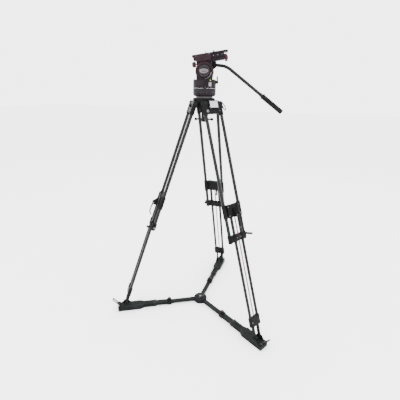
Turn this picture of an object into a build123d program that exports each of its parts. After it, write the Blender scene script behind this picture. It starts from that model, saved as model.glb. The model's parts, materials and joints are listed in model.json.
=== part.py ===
from build123d import *
import os
from math import cos, radians, sin

os.makedirs("parts", exist_ok=True)

# Camera tripod with a fluid head, standing on a floor-level spreader.
# Millimetres, +Z up.  The origin is on the pan axis at floor level.

# ---- clearances -------------------------------------------------------------
FIT = 0.05              # radial running fit of a shaft or tube in its bore
GAP = 0.4               # free space between faces that move past each other
ARM_GAP = 0.5           # free space round each telescoping spreader tube
OPEN_PIVOT_SIDE = 6.5   # free space beside the two arms that end loose in the hub
OPEN_PIVOT_DEPTH = 12.0 # and past their ends

# ---- legs -------------------------------------------------------------------
LEG_AZIMUTH = {"a": 210.0, "b": 330.0, "c": 90.0}
LEG_ANGLE = 18.89       # from vertical
HINGE_RADIUS = 64.6
OUTER_SPACING = 121.0   # between the two upper tubes, centre to centre
OUTER_RADIUS = 10.0
OUTER_WALL = 1.6
OUTER_LENGTH = 800.0
INNER_SPACING = 60.8
INNER_RADIUS = 9.0
INNER_WALL = 1.5
INNER_LENGTH = 740.0
INNER_OFFSET = 12.0     # lower tubes stand this far outward of the upper ones
LEG_OVERLAP = 206.0     # lower tubes reach this far up beside the upper ones
ROD_RADIUS = 3.75

# ---- leg castings -----------------------------------------------------------
KNUCKLE_RADIUS = 14.0
KNUCKLE_CAP = 12.0      # knuckle ends this far outside the tube's centre
HINGE_PIN_RADIUS = 4.0
PIN_TIP = 2.5           # hinge pin ends this short of the tubes
LUG_HALF_WIDTH = 31.0
LUG_RADIUS = 12.0
TUBE_START = 6.0        # below the hinge pin
SHOULDER_LENGTH = 62.0
SOCKET_ABOVE = 11.0     # the tube sockets reach this far above the pin
SHOULDER_WEB = 20.0
SHOULDER_WEB_START = 26.0
SOCKET_WALL = 3.6
WEB_SETBACK = 4.0       # the shoulder's web ends this far above its sockets
KNUCKLE_SEAT = 4.0      # the knuckles reach this far into the web
GUIDE_LENGTH = 77.0
GUIDE_ABOVE = 12.0      # guide bracket stands above the lower tubes' ends
GUIDE_WEB = 17.0
CLAMP_LENGTH = 42.0
CLAMP_WEB = 20.0
CLAMP_LIP = 6.0         # clamp bracket reaches below the upper tubes
CLAMP_BOSS = 2.0        # boss under the clamp lever
FOOT_LENGTH = 55.0
FOOT_SOCKET = 45.0
FORK_LENGTH = 90.0
FORK_INSIDE = 17.0
FORK_OUTSIDE = 26.0
FORK_EYE_RADIUS = 9.5
FORK_ROOT = 5.0         # the prongs start this far inside the bracket
FORK_ROOT_INWARD = 10.0
FORK_ROOT_OUTWARD = 8.0
FOOT_PIN_RADIUS = 4.0
FOOT_PIN_OFFSET = 6.0

# ---- leg levers -------------------------------------------------------------
RELEASE_PIVOT_OUT = 44.0
RELEASE_PIVOT_DOWN = 66.0   # below the guide bracket's upper end
RELEASE_REACH = 82.0
RELEASE_BAR = 7.0
RELEASE_HALF_WIDTH = 5.0
RELEASE_BOW = 5.0            # how far the lever bows outward of its pivot
RELEASE_TIP = 8.0            # and how far its tip turns inward
RELEASE_BEND = 6.0
RELEASE_EYE_RADIUS = 7.0
EAR_THICKNESS = 5.0
EAR_RADIUS = 7.0
EAR_DROP = 10.0              # the ears start this far below the bracket's upper end
EAR_SLOPE = 22.0             # and stop widening this far above the pivot
EAR_FOOT = 11.0
LEVER_PIN_RADIUS = 3.0
CLAMP_LEVER_LENGTH = 50.0
CLAMP_LEVER_HUB = 8.0
CLAMP_LEVER_WIDTH = 11.2
CLAMP_LEVER_HEIGHT = 9.0

# ---- floor spreader ---------------------------------------------------------
FOOT_PIN_HEIGHT = 39.4
SOCKET_WIDTH = 64.0
SOCKET_INWARD = 99.0        # foot socket casting, inward of the foot pin
SOCKET_OUTWARD = 55.0       # and outward of it
SOCKET_CHEEK = 31.0         # half length of the cheeks that hold the foot pin
CHEEK_TOP = 10.0            # half length of their tops
CHEEK_ABOVE = 12.0          # above the foot pin
CHEEK_SEAT = 1.0
SOCKET_TAPER = 24.0         # length over which the socket widens
SOCKET_SOLID = 40.0         # the socket is solid this far in from its outer end
CHANNEL_LENGTH = 112.0      # plain channel, inward of the foot socket
CHANNEL_WIDTH = 40.0
CHANNEL_HEIGHT = 27.0
CHANNEL_LIFT = 2.5
ARM_WALL = 2.5
MID_SHOWN = 80.0
MID_COLLAR = 30.0
MID_INSIDE = 105.0
INNER_INSIDE = 60.0
HUB_RADIUS = 46.0
HUB_HEIGHT = 33.0
HUB_POCKET = 10.0
HUB_CHAMFER = 5.0
ARM_KNOB_RADIUS = 13.0
ARM_KNOB_HEIGHT = 17.0
ARM_KNOB_FLUTES = 8
ARM_KNOB_FLUTE_RADIUS = 3.0
LATCH_REACH = 64.0          # from its pivot to its outer end
LATCH_BACK = 2.0            # behind its pivot
LATCH_WIDTH = 28.0
LATCH_CORNER = 9.0
LATCH_RIM = 6.5
LATCH_END_RIM = 5.0
LATCH_SLOT_START = 19.0
LATCH_THICKNESS = 5.0
LATCH_ANGLE = 50.0
LATCH_HUB_RADIUS = 5.5
LATCH_EAR_RADIUS = 8.0
LATCH_PIVOT_ABOVE = 10.0    # above the socket block

# ---- crown and levelling bowl -----------------------------------------------
CROWN_RADIUS = 62.0
CROWN_ABOVE = 29.0
CROWN_BELOW = 14.0
BALL_RADIUS = 50.0
BALL_ABOVE_CROWN = 2.0
BALL_DEPTH = 38.0
BALL_NECK = 7.5
CROWN_OPENING = 38.0
LUG_ROOT = 40.0             # the lugs start this far from the axis
POCKET_REACH = 10.0         # the pockets' centres lie this far outward of the hinge pins
POCKET_LENGTH = 40.0
STUD_RADIUS = 5.0
STUD_LENGTH = 90.0
KNOB_BODY_RADIUS = 15.0
KNOB_BODY_LENGTH = 58.0
KNOB_BAR = 96.0
KNOB_BAR_RADIUS = 5.0
KNOB_BALL_RADIUS = 9.0
KNOB_BAR_HEIGHT = 14.0      # above the knob's lower end
KNOB_BELOW_STUD = 8.0
CLAMP_CUP_RADIUS = 26.0
CLAMP_CUP_HEIGHT = 13.0
CLAMP_CUP_CHAMFER = 5.0

# ---- fluid head -------------------------------------------------------------
HEAD_AZIMUTH = 14.5        # where the rear of the head points at rest
REST_TILT = 9.0             # the rear of the plate stands this much high
BASE_RADIUS = 66.0
BASE_FOOT_RADIUS = 58.0
BASE_TAPER = 8.0           # height of the tapered foot
PAN_BASE_HEIGHT = 23.5
PAN_BOSS_RADIUS = 54.0
PAN_RING_HEIGHT = 20.0
PAN_RING_FLUTES = 36
PAN_RING_FLUTE_RADIUS = 2.0
PAN_RING_FLUTE_OFF = 1.0    # flute centres lie this far outside the ring
SPINDLE_RADIUS = 12.0
SPINDLE_START = 4.0         # above the base's underside
TURRET_HEIGHT = 46.0
TURRET_CHAMFER = 3.0
TILT_ABOVE_TURRET = 43.0
YOKE_RADIUS = 50.0
YOKE_THICKNESS = 9.0
YOKE_FOOT = 88.0
YOKE_SEAT = 2.0             # the cheeks reach this far into the turret
YOKE_CHORD = 47.0           # half width of the cheeks at the tilt axis
DRUM_HALF_WIDTH = 35.5
DRUM_RADIUS = 40.0
NECK_ROOT = 38.0            # half length of the neck at the tilt axis
TILT_PIN_RADIUS = 9.0
TILT_KNOB_RADIUS = 33.0
TILT_KNOB_THICKNESS = 14.0
TILT_KNOB_FLUTES = 30
TILT_KNOB_FLUTE_RADIUS = 1.5
NECK_FRONT = 38.0
NECK_REAR = 48.0
HOUSING_BOTTOM = 62.0
SHOULDER_BOTTOM = 51.0      # the neck's shoulders pass over the yoke
SHOULDER_OVERHANG = 2.0     # and reach this far past the rosette's seat
HOUSING_SEAT = 2.0          # blocks of one casting reach this far into each other
REAR_BOTTOM = 45.0
REAR_HALF_WIDTH = 30.0
HOUSING_TOP = 88.0
HOUSING_FRONT = 52.0
HOUSING_REAR = 118.0
HOUSING_HALF_WIDTH = 35.0
PLATE_BOTTOM = 80.0
PLATE_TOP = 92.0
PLATE_LENGTH = 200.0
PLATE_CENTRE = 41.0
PLATE_HALF_WIDTH = 26.0
PLATE_TOP_HALF_WIDTH = 22.0
PLATE_BRAKE_RADIUS = 21.0
PLATE_BRAKE_HEIGHT = 55.0
PLATE_BRAKE_LENGTH = 20.0
PLATE_BRAKE_LOBES = 5
PLATE_BRAKE_FLUTE_RADIUS = 7.0
BALANCE_KNOB_RADIUS = 15.0
BALANCE_KNOB_HEIGHT = 44.0
BALANCE_KNOB_LENGTH = 22.0
BALANCE_KNOB_OFF = 6.0      # the knob stands this far off the neck
BALANCE_KNOB_FLUTES = 8
BALANCE_KNOB_FLUTE_RADIUS = 3.0
BALANCE_SPINDLE_SEAT = 4.0  # its spindle starts this deep in the neck
LEVER_THICKNESS = 8.0       # of both brake levers
TILT_LEVER_LENGTH = 38.0
TILT_LEVER_WIDTH = 12.0
TILT_LEVER_HUB = 12.0
TILT_LEVER_OFF = 13.3       # its middle lies this far below and in front of the axis
PAN_LEVER_AZIMUTH = -1.0    # from the rear of the head
PAN_LEVER_HEIGHT = 33.0     # above the turret's underside
PAN_LEVER_LENGTH = 40.0
PAN_LEVER_WIDTH = 14.0
PAN_LEVER_RISE = 11.0       # its middle stands this far above its pivot
PAN_LEVER_HUB = 9.0
PAN_BOSS_LEVER_RADIUS = 8.0
PAN_LEVER_BOSS = 2.0        # boss under the lever
KNOB_CAP = 3.0              # closed end of each knob
BIG_SCREW_RADIUS = 4.76
SMALL_SCREW_RADIUS = 3.17
SCREW_LENGTH = 9.0
SCREW_SPACING = 44.0

# ---- pan bar ----------------------------------------------------------------
ROSETTE_REAR = 40.0         # rosette centre, from the pan axis
ROSETTE_ABOVE = 40.0        # and above the tilt axis
ROSETTE_RADIUS = 25.0
ROSETTE_THICKNESS = 10.0
ROSETTE_ARM = 24.0          # arm above the rosette that joins it to the neck
ROSETTE_ARM_WIDTH = 35.0
BAR_RADIUS = 9.5
BAR_BOSS_HALF = 10.5         # half thickness of the bar's boss
BAR_BEND_REAR = 121.4
BAR_BEND_DROP = 6.8        # the bend lies this much below the rosette
BAR_SLOPE = 36.3
BAR_BEND_RADIUS = 110.0
BAR_SHAFT = 271.8           # from the bend to the grip
GRIP_LENGTH = 154.0
GRIP_RADIUS = 15.0
GRIP_FLANGE = 3.0           # the hand stop stands out this much
GRIP_FLANGE_LENGTH = 7.0
GRIP_CAP = 8.0              # closed end of the grip
GRIP_CHAMFER = 3.0
BAR_KNOB_RADIUS = 21.0
BAR_KNOB_THICKNESS = 18.0
BAR_KNOB_LOBES = 7
BAR_KNOB_FLUTE_RADIUS = 6.0

# ---- derived places ---------------------------------------------------------
upper_end = TUBE_START + OUTER_LENGTH
inner_start = upper_end - LEG_OVERLAP
pin_half_length = OUTER_SPACING / 2 - OUTER_RADIUS - PIN_TIP
inner_end = inner_start + INNER_LENGTH
guide_start = inner_start - GUIDE_ABOVE
clamp_start = upper_end + CLAMP_LIP - CLAMP_LENGTH
foot_start = inner_end - FOOT_SOCKET
foot_pin_station = foot_start + FOOT_LENGTH + FORK_LENGTH
lean, rise = sin(radians(LEG_ANGLE)), cos(radians(LEG_ANGLE))
hinge_height = FOOT_PIN_HEIGHT + foot_pin_station * rise - FOOT_PIN_OFFSET * lean
foot_pin_radius = HINGE_RADIUS + foot_pin_station * lean + FOOT_PIN_OFFSET * rise

socket_start = foot_pin_radius - SOCKET_INWARD
socket_end = foot_pin_radius + SOCKET_OUTWARD
channel_start = socket_start - CHANNEL_LENGTH
arm_height = CHANNEL_LIFT + CHANNEL_HEIGHT / 2
mid_width = CHANNEL_WIDTH - 2 * (ARM_WALL + ARM_GAP)
mid_height = CHANNEL_HEIGHT - 2 * (ARM_WALL + ARM_GAP)
mid_start = channel_start - MID_SHOWN - MID_COLLAR
mid_end = channel_start + MID_INSIDE
inner_width = mid_width - 2 * (ARM_WALL + ARM_GAP)
inner_height = mid_height - 2 * (ARM_WALL + ARM_GAP)
inner_arm_end = mid_start + INNER_INSIDE
pocket_floor = HUB_RADIUS - HUB_POCKET
socket_top = CHANNEL_LIFT + CHANNEL_HEIGHT
latch_pivot = (socket_end - LATCH_EAR_RADIUS, socket_top + LATCH_PIVOT_ABOVE)
arm_knob_place = mid_start + MID_COLLAR / 2

crown_top = hinge_height + CROWN_ABOVE
crown_bottom = hinge_height - CROWN_BELOW
ball_centre = crown_top + BALL_ABOVE_CROWN
ball_bottom = ball_centre - BALL_DEPTH
stud_end = ball_bottom - STUD_LENGTH
knob_bottom = stud_end - KNOB_BELOW_STUD
knob_top = knob_bottom + KNOB_BODY_LENGTH
base_bottom = ball_centre + BALL_NECK
pan_ring_bottom = base_bottom + PAN_BASE_HEIGHT + GAP
turret_bottom = pan_ring_bottom + PAN_RING_HEIGHT + GAP
turret_top = turret_bottom + TURRET_HEIGHT
tilt_height = turret_top + TILT_ABOVE_TURRET
yoke_inside = DRUM_HALF_WIDTH + GAP
yoke_outside = yoke_inside + YOKE_THICKNESS
boss_inside = yoke_outside + GAP
boss_outside = boss_inside + ROSETTE_THICKNESS
bar_offset = boss_outside + GAP + BAR_BOSS_HALF
knob_seat = bar_offset + BAR_BOSS_HALF + GAP
plate_brake_seat = HOUSING_REAR + GAP
balance_seat = -NECK_FRONT - BALANCE_KNOB_OFF


def polar(azimuth):
    """Unit vector that points outward at this azimuth."""
    return Vector(cos(radians(azimuth)), sin(radians(azimuth)), 0)


class Leg:
    """The planes of one leg: its own slanted ones and its spreader arm's level ones."""

    def __init__(self, azimuth):
        out = polar(azimuth)
        up = Vector(0, 0, 1)
        along = polar(azimuth + 90)
        hinge = out * HINGE_RADIUS + up * hinge_height
        down = out * lean - up * rise
        normal = out * rise + up * lean
        # across the leg: x sideways, y outward, extruded down the leg
        self.down = Plane(origin=hinge, x_dir=along, z_dir=down)
        # its side view: x outward, y down the leg, extruded sideways
        self.side = Plane(origin=hinge, x_dir=normal, z_dir=along)
        # upright through the axis: x outward, y up, extruded sideways
        self.radial = Plane(origin=(0, 0, 0), x_dir=out, z_dir=along * -1)
        # across the arm: x sideways, y up, extruded outward
        self.arm = Plane(origin=(0, 0, 0), x_dir=along, z_dir=out)
        # the arm from above: x outward, y sideways, extruded up
        self.floor = Plane(origin=(0, 0, 0), x_dir=out, z_dir=up)


legs = {name: Leg(azimuth) for name, azimuth in LEG_AZIMUTH.items()}

rear = polar(HEAD_AZIMUTH)
far = polar(HEAD_AZIMUTH + 90)
tilt_point = Vector(0, 0, tilt_height)
# the head from its near side: x to the rear, y up, extruded to the near side
head_side = Plane(origin=tilt_point, x_dir=rear, z_dir=far * -1)
tilt_x = rear * cos(radians(REST_TILT)) + Vector(0, 0, sin(radians(REST_TILT)))
# the same view of what tilts
tilt_side = Plane(origin=tilt_point, x_dir=tilt_x, z_dir=far * -1)
# what tilts, from its rear end: x to the far side, y up, extruded to the rear
tilt_end = Plane(origin=tilt_point, x_dir=far, z_dir=tilt_x)
# what tilts, from above: x to the rear, y to the far side, extruded up
tilt_top = Plane(origin=tilt_point, x_dir=tilt_x, z_dir=tilt_x.cross(far))


def save(builder, name):
    """Label one finished piece and write it to its own file."""
    builder.part.label = name
    export_step(builder.part, f"parts/{name}.step")


def pair(spacing, offset=0.0):
    """Places of a pair of tubes across a leg."""
    return [(-spacing / 2, offset), (spacing / 2, offset)]


def disc_knob(plane, start, radius, thickness, flutes, flute_radius):
    """Fluted knob that turns on a pin along the plane's normal, from start outward."""
    step = 1 if start >= 0 else -1
    with BuildPart() as part:
        with BuildSketch(plane.offset(start)):
            Circle(radius)
            with PolarLocations(radius + flute_radius * 0.45, flutes):
                Circle(flute_radius, mode=Mode.SUBTRACT)
        extrude(amount=step * thickness)
        with BuildSketch(plane.offset(start)):
            Circle(LEVER_PIN_RADIUS + FIT)
        extrude(amount=step * (thickness - KNOB_CAP + FIT), mode=Mode.SUBTRACT)
    return part


# ---- legs -------------------------------------------------------------------
def shoulder(leg):
    """Casting that joins the two upper tubes and swings on the crown's lug."""
    with BuildPart() as part:
        with BuildSketch(leg.down.offset(-SOCKET_ABOVE)):
            with Locations(*pair(OUTER_SPACING)):
                Circle(OUTER_RADIUS + SOCKET_WALL)
        extrude(amount=SOCKET_ABOVE + SHOULDER_LENGTH)
        with BuildSketch(leg.down.offset(SHOULDER_WEB_START)):
            Rectangle(OUTER_SPACING, SHOULDER_WEB)
        extrude(amount=SHOULDER_LENGTH - SHOULDER_WEB_START - WEB_SETBACK)
        for side in (-1, 1):
            start = side * (LUG_HALF_WIDTH + GAP)
            with BuildSketch(leg.side.offset(start)):
                Circle(KNUCKLE_RADIUS)
                with Locations((0, (SHOULDER_WEB_START + KNUCKLE_SEAT) / 2)):
                    Rectangle(SHOULDER_WEB, SHOULDER_WEB_START + KNUCKLE_SEAT)
            extrude(amount=side * (OUTER_SPACING / 2 + KNUCKLE_CAP) - start)
        with BuildSketch(leg.down.offset(TUBE_START)):
            with Locations(*pair(OUTER_SPACING)):
                Circle(OUTER_RADIUS)
        extrude(amount=SHOULDER_LENGTH, mode=Mode.SUBTRACT)
        with BuildSketch(leg.side):
            Circle(HINGE_PIN_RADIUS + FIT)
        extrude(amount=pin_half_length + GAP, both=True, mode=Mode.SUBTRACT)
    return part


def tubes(leg, spacing, offset, radius, wall, start, length):
    """A pair of parallel tubes."""
    with BuildPart() as part:
        with BuildSketch(leg.down.offset(start)):
            with Locations(*pair(spacing, offset)):
                Circle(radius)
                Circle(radius - wall, mode=Mode.SUBTRACT)
        extrude(amount=length)
    return part


def guide_bracket(leg):
    """Carriage on the lower tubes that slides on the upper ones, with the lever's ears."""
    with BuildPart() as part:
        with BuildSketch(leg.down.offset(guide_start)):
            with Locations((0, INNER_OFFSET)):
                Rectangle(OUTER_SPACING - 2 * OUTER_RADIUS, GUIDE_WEB)
            with Locations(*pair(OUTER_SPACING)):
                Circle(OUTER_RADIUS + SOCKET_WALL)
            with Locations(*pair(INNER_SPACING, INNER_OFFSET)):
                Circle(INNER_RADIUS + SOCKET_WALL)
        extrude(amount=GUIDE_LENGTH)
        pivot = guide_start + RELEASE_PIVOT_DOWN
        for side in (-1, 1):
            start = side * (RELEASE_HALF_WIDTH + GAP)
            with BuildSketch(leg.side.offset(start)):
                with BuildLine():
                    Polyline(
                        (INNER_OFFSET, guide_start + EAR_DROP),
                        (RELEASE_PIVOT_OUT - EAR_RADIUS, pivot - EAR_SLOPE),
                        (RELEASE_PIVOT_OUT + EAR_RADIUS, pivot - EAR_RADIUS),
                        (RELEASE_PIVOT_OUT + EAR_RADIUS, pivot + EAR_RADIUS),
                        (RELEASE_PIVOT_OUT - EAR_RADIUS, pivot + EAR_FOOT),
                        (INNER_OFFSET, pivot + EAR_FOOT),
                        close=True,
                    )
                make_face()
            extrude(amount=side * EAR_THICKNESS)
        with BuildSketch(leg.side):
            with Locations((RELEASE_PIVOT_OUT, pivot)):
                Circle(LEVER_PIN_RADIUS)
        extrude(amount=RELEASE_HALF_WIDTH + GAP + EAR_THICKNESS, both=True)
        with BuildSketch(leg.down.offset(guide_start)):
            with Locations(*pair(OUTER_SPACING)):
                Circle(OUTER_RADIUS + FIT)
        extrude(amount=GUIDE_LENGTH, mode=Mode.SUBTRACT)
        with BuildSketch(leg.down.offset(inner_start)):
            with Locations(*pair(INNER_SPACING, INNER_OFFSET)):
                Circle(INNER_RADIUS)
            with Locations((0, INNER_OFFSET)):
                Circle(ROD_RADIUS)
        extrude(amount=GUIDE_LENGTH, mode=Mode.SUBTRACT)
    return part


def clamp_bracket(leg):
    """Casting at the foot of the upper tubes that the lower tubes run through."""
    with BuildPart() as part:
        with BuildSketch(leg.down.offset(clamp_start)):
            with Locations((0, INNER_OFFSET / 2)):
                Rectangle(OUTER_SPACING, CLAMP_WEB)
            with Locations(*pair(OUTER_SPACING)):
                Circle(OUTER_RADIUS + SOCKET_WALL)
            with Locations(*pair(INNER_SPACING, INNER_OFFSET)):
                Circle(INNER_RADIUS + SOCKET_WALL)
        extrude(amount=CLAMP_LENGTH)
        # boss and pin that carry the clamp lever, on one flank
        with BuildSketch(leg.side.offset(OUTER_SPACING / 2)):
            with Locations((0, clamp_start + CLAMP_LENGTH / 2)):
                Circle(CLAMP_LEVER_HUB)
        extrude(amount=OUTER_RADIUS + SOCKET_WALL + CLAMP_BOSS)
        with BuildSketch(leg.side.offset(OUTER_SPACING / 2)):
            with Locations((0, clamp_start + CLAMP_LENGTH / 2)):
                Circle(LEVER_PIN_RADIUS)
        extrude(amount=OUTER_RADIUS + SOCKET_WALL + CLAMP_BOSS + GAP + CLAMP_LEVER_HEIGHT)
        with BuildSketch(leg.down.offset(clamp_start)):
            with Locations(*pair(OUTER_SPACING)):
                Circle(OUTER_RADIUS)
        extrude(amount=CLAMP_LENGTH - CLAMP_LIP, mode=Mode.SUBTRACT)
        with BuildSketch(leg.down.offset(clamp_start)):
            with Locations(*pair(INNER_SPACING, INNER_OFFSET)):
                Circle(INNER_RADIUS + FIT)
            with Locations((0, INNER_OFFSET)):
                Circle(ROD_RADIUS + GAP)
        extrude(amount=CLAMP_LENGTH, mode=Mode.SUBTRACT)
    return part


def clamp_lever(leg):
    """Lever that tightens the clamp bracket, on its flank."""
    hub = (0, clamp_start + CLAMP_LENGTH / 2)
    start = OUTER_SPACING / 2 + OUTER_RADIUS + SOCKET_WALL + CLAMP_BOSS + GAP
    with BuildPart() as part:
        with BuildSketch(leg.side.offset(start)):
            with Locations(hub):
                Circle(CLAMP_LEVER_HUB)
            with Locations((CLAMP_LEVER_LENGTH / 2, hub[1])):
                SlotCenterToCenter(CLAMP_LEVER_LENGTH - CLAMP_LEVER_HUB, CLAMP_LEVER_WIDTH)
            with Locations(hub):
                Circle(LEVER_PIN_RADIUS + FIT, mode=Mode.SUBTRACT)
        extrude(amount=CLAMP_LEVER_HEIGHT)
    return part


def release_lever(leg):
    """Long bow-shaped lever that hangs outward of the lower tubes."""
    pivot = guide_start + RELEASE_PIVOT_DOWN
    with BuildPart() as part:
        with BuildSketch(leg.side):
            with BuildLine():
                FilletPolyline(
                    (RELEASE_PIVOT_OUT, pivot),
                    (RELEASE_PIVOT_OUT + RELEASE_BOW, pivot + RELEASE_REACH * 0.35),
                    (RELEASE_PIVOT_OUT + RELEASE_BOW, pivot + RELEASE_REACH * 0.8),
                    (RELEASE_PIVOT_OUT - RELEASE_TIP, pivot + RELEASE_REACH),
                    radius=RELEASE_BEND,
                )
            trace(line_width=RELEASE_BAR)
            with Locations((RELEASE_PIVOT_OUT, pivot)):
                Circle(RELEASE_EYE_RADIUS)
                Circle(LEVER_PIN_RADIUS + FIT, mode=Mode.SUBTRACT)
        extrude(amount=RELEASE_HALF_WIDTH, both=True)
    return part


def brake_rod(leg):
    """Round rod between the lower tubes."""
    with BuildPart() as part:
        with BuildSketch(leg.down.offset(inner_start)):
            with Locations((0, INNER_OFFSET)):
                Circle(ROD_RADIUS)
        extrude(amount=foot_start + FOOT_LENGTH / 2 - inner_start)
    return part


def foot_bracket(leg):
    """Casting below the lower tubes whose two prongs stand in the foot socket."""
    half = INNER_SPACING / 2 + INNER_RADIUS + SOCKET_WALL
    foot_end = foot_start + FOOT_LENGTH
    with BuildPart() as part:
        with BuildSketch(leg.down.offset(foot_start)):
            with Locations((0, INNER_OFFSET)):
                RectangleRounded(2 * half, 2 * (INNER_RADIUS + SOCKET_WALL), INNER_RADIUS)
        extrude(amount=FOOT_LENGTH)
        for side in (-1, 1):
            with BuildSketch(leg.side.offset(side * FORK_INSIDE)):
                with BuildLine():
                    Polyline(
                        (INNER_OFFSET - FORK_ROOT_INWARD, foot_end - FORK_ROOT),
                        (INNER_OFFSET + FORK_ROOT_OUTWARD, foot_end - FORK_ROOT),
                        (FOOT_PIN_OFFSET + FORK_EYE_RADIUS, foot_pin_station),
                        (FOOT_PIN_OFFSET - FORK_EYE_RADIUS, foot_pin_station),
                        close=True,
                    )
                make_face()
                with Locations((FOOT_PIN_OFFSET, foot_pin_station)):
                    Circle(FORK_EYE_RADIUS)
                    Circle(FOOT_PIN_RADIUS + FIT, mode=Mode.SUBTRACT)
            extrude(amount=side * (FORK_OUTSIDE - FORK_INSIDE))
        with BuildSketch(leg.down.offset(foot_start)):
            with Locations(*pair(INNER_SPACING, INNER_OFFSET)):
                Circle(INNER_RADIUS)
        extrude(amount=FOOT_SOCKET, mode=Mode.SUBTRACT)
        with BuildSketch(leg.down.offset(foot_start)):
            with Locations((0, INNER_OFFSET)):
                Circle(ROD_RADIUS)
        extrude(amount=FOOT_LENGTH / 2, mode=Mode.SUBTRACT)
    return part


# ---- floor spreader ---------------------------------------------------------
def beam(leg, start, end, width, height):
    """Solid rectangular beam along an arm, centred at the arms' height."""
    with BuildPart() as part:
        with BuildSketch(leg.arm.offset(start)):
            with Locations((0, arm_height)):
                Rectangle(width, height)
        extrude(amount=end - start)
    return part.part


def box_tube(leg, start, end, width, height):
    """Rectangular tube of an arm."""
    outside = beam(leg, start, end, width, height)
    inside = beam(leg, start, end, width - 2 * ARM_WALL, height - 2 * ARM_WALL)
    with BuildPart() as part:
        add(outside)
        add(inside, mode=Mode.SUBTRACT)
    return part


def channel(leg):
    """Outer channel of an arm with the foot socket on its end."""
    cheek_inside = FORK_OUTSIDE + GAP
    outside = beam(leg, channel_start, socket_start, CHANNEL_WIDTH, CHANNEL_HEIGHT)
    inside = beam(leg, channel_start, socket_end - SOCKET_SOLID, CHANNEL_WIDTH - 2 * ARM_WALL,
                  CHANNEL_HEIGHT - 2 * ARM_WALL)
    with BuildPart() as part:
        with BuildSketch(leg.floor):
            with BuildLine():
                Polyline(
                    (socket_start - SOCKET_TAPER, -CHANNEL_WIDTH / 2),
                    (socket_start, -SOCKET_WIDTH / 2),
                    (socket_end, -SOCKET_WIDTH / 2),
                    (socket_end, SOCKET_WIDTH / 2),
                    (socket_start, SOCKET_WIDTH / 2),
                    (socket_start - SOCKET_TAPER, CHANNEL_WIDTH / 2),
                    close=True,
                )
            make_face()
        extrude(amount=socket_top)
        add(outside)
        add(inside, mode=Mode.SUBTRACT)
        for side in (-1, 1):
            with BuildSketch(leg.radial.offset(side * cheek_inside)):
                with BuildLine():
                    Polyline(
                        (foot_pin_radius - SOCKET_CHEEK, socket_top - CHEEK_SEAT),
                        (foot_pin_radius - CHEEK_TOP, FOOT_PIN_HEIGHT + CHEEK_ABOVE),
                        (foot_pin_radius + CHEEK_TOP, FOOT_PIN_HEIGHT + CHEEK_ABOVE),
                        (foot_pin_radius + SOCKET_CHEEK, socket_top - CHEEK_SEAT),
                        close=True,
                    )
                make_face()
            extrude(amount=side * (SOCKET_WIDTH / 2 - cheek_inside))
        with BuildSketch(leg.radial):
            with Locations((foot_pin_radius, FOOT_PIN_HEIGHT)):
                Circle(FOOT_PIN_RADIUS)
        extrude(amount=SOCKET_WIDTH / 2, both=True)
        # ears and pin of the foot latch
        for side in (-1, 1):
            start = side * (LATCH_WIDTH / 2 + GAP)
            with BuildSketch(leg.radial.offset(start)):
                with Locations((latch_pivot[0], latch_pivot[1] - LATCH_EAR_RADIUS)):
                    Rectangle(2 * LATCH_EAR_RADIUS, 2 * LATCH_EAR_RADIUS)
                with Locations(latch_pivot):
                    Circle(LATCH_EAR_RADIUS)
            extrude(amount=side * EAR_THICKNESS)
        with BuildSketch(leg.radial):
            with Locations(latch_pivot):
                Circle(LEVER_PIN_RADIUS)
        extrude(amount=LATCH_WIDTH / 2 + GAP + EAR_THICKNESS, both=True)
    return part


def mid_tube(leg):
    """Middle telescoping tube with the lock collar and its knob's boss."""
    tube = box_tube(leg, mid_start, mid_end, mid_width, mid_height)
    with BuildPart() as part:
        add(tube.part)
        with BuildSketch(leg.arm.offset(mid_start)):
            with Locations((0, arm_height)):
                Rectangle(CHANNEL_WIDTH, CHANNEL_HEIGHT)
                Rectangle(mid_width - 2 * ARM_WALL, mid_height - 2 * ARM_WALL, mode=Mode.SUBTRACT)
        extrude(amount=MID_COLLAR)
        with BuildSketch(leg.floor.offset(socket_top)):
            with Locations((arm_knob_place, 0)):
                Circle(LEVER_PIN_RADIUS)
        extrude(amount=GAP + ARM_KNOB_HEIGHT - KNOB_CAP)
    return part


def arm_knob(leg):
    """Knob that locks the telescoping arm."""
    foot = leg.floor.from_local_coords((arm_knob_place, 0, socket_top + GAP))
    plane = Plane(origin=foot, x_dir=leg.floor.x_dir, z_dir=leg.floor.z_dir)
    return disc_knob(plane, 0, ARM_KNOB_RADIUS, ARM_KNOB_HEIGHT, ARM_KNOB_FLUTES,
                     ARM_KNOB_FLUTE_RADIUS)


def inner_tube(leg):
    """Innermost tube of an arm, from the hub into the middle tube."""
    return box_tube(leg, pocket_floor, inner_arm_end, inner_width, inner_height)


def foot_latch(leg):
    """Loop lever on the outer end of the foot socket."""
    out = leg.radial.x_dir * cos(radians(LATCH_ANGLE)) + Vector(0, 0, sin(radians(LATCH_ANGLE)))
    origin = leg.radial.from_local_coords((*latch_pivot, 0))
    loop = Plane(origin=origin, x_dir=out, z_dir=out.cross(leg.arm.x_dir))
    slot_end = LATCH_REACH - LATCH_END_RIM
    with BuildPart() as part:
        with BuildSketch(loop.offset(-LATCH_THICKNESS / 2)):
            with Locations(((LATCH_REACH - LATCH_BACK) / 2, 0)):
                RectangleRounded(LATCH_REACH + LATCH_BACK, LATCH_WIDTH, LATCH_CORNER)
            with Locations(((LATCH_SLOT_START + slot_end) / 2, 0)):
                SlotOverall(slot_end - LATCH_SLOT_START, LATCH_WIDTH - 2 * LATCH_RIM,
                            mode=Mode.SUBTRACT)
        extrude(amount=LATCH_THICKNESS)
        with BuildSketch(leg.radial):
            with Locations(latch_pivot):
                Circle(LATCH_HUB_RADIUS)
        extrude(amount=LATCH_WIDTH / 2, both=True)
        with BuildSketch(leg.radial):
            with Locations(latch_pivot):
                Circle(LEVER_PIN_RADIUS + FIT)
        extrude(amount=LATCH_WIDTH / 2, both=True, mode=Mode.SUBTRACT)
    return part


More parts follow.
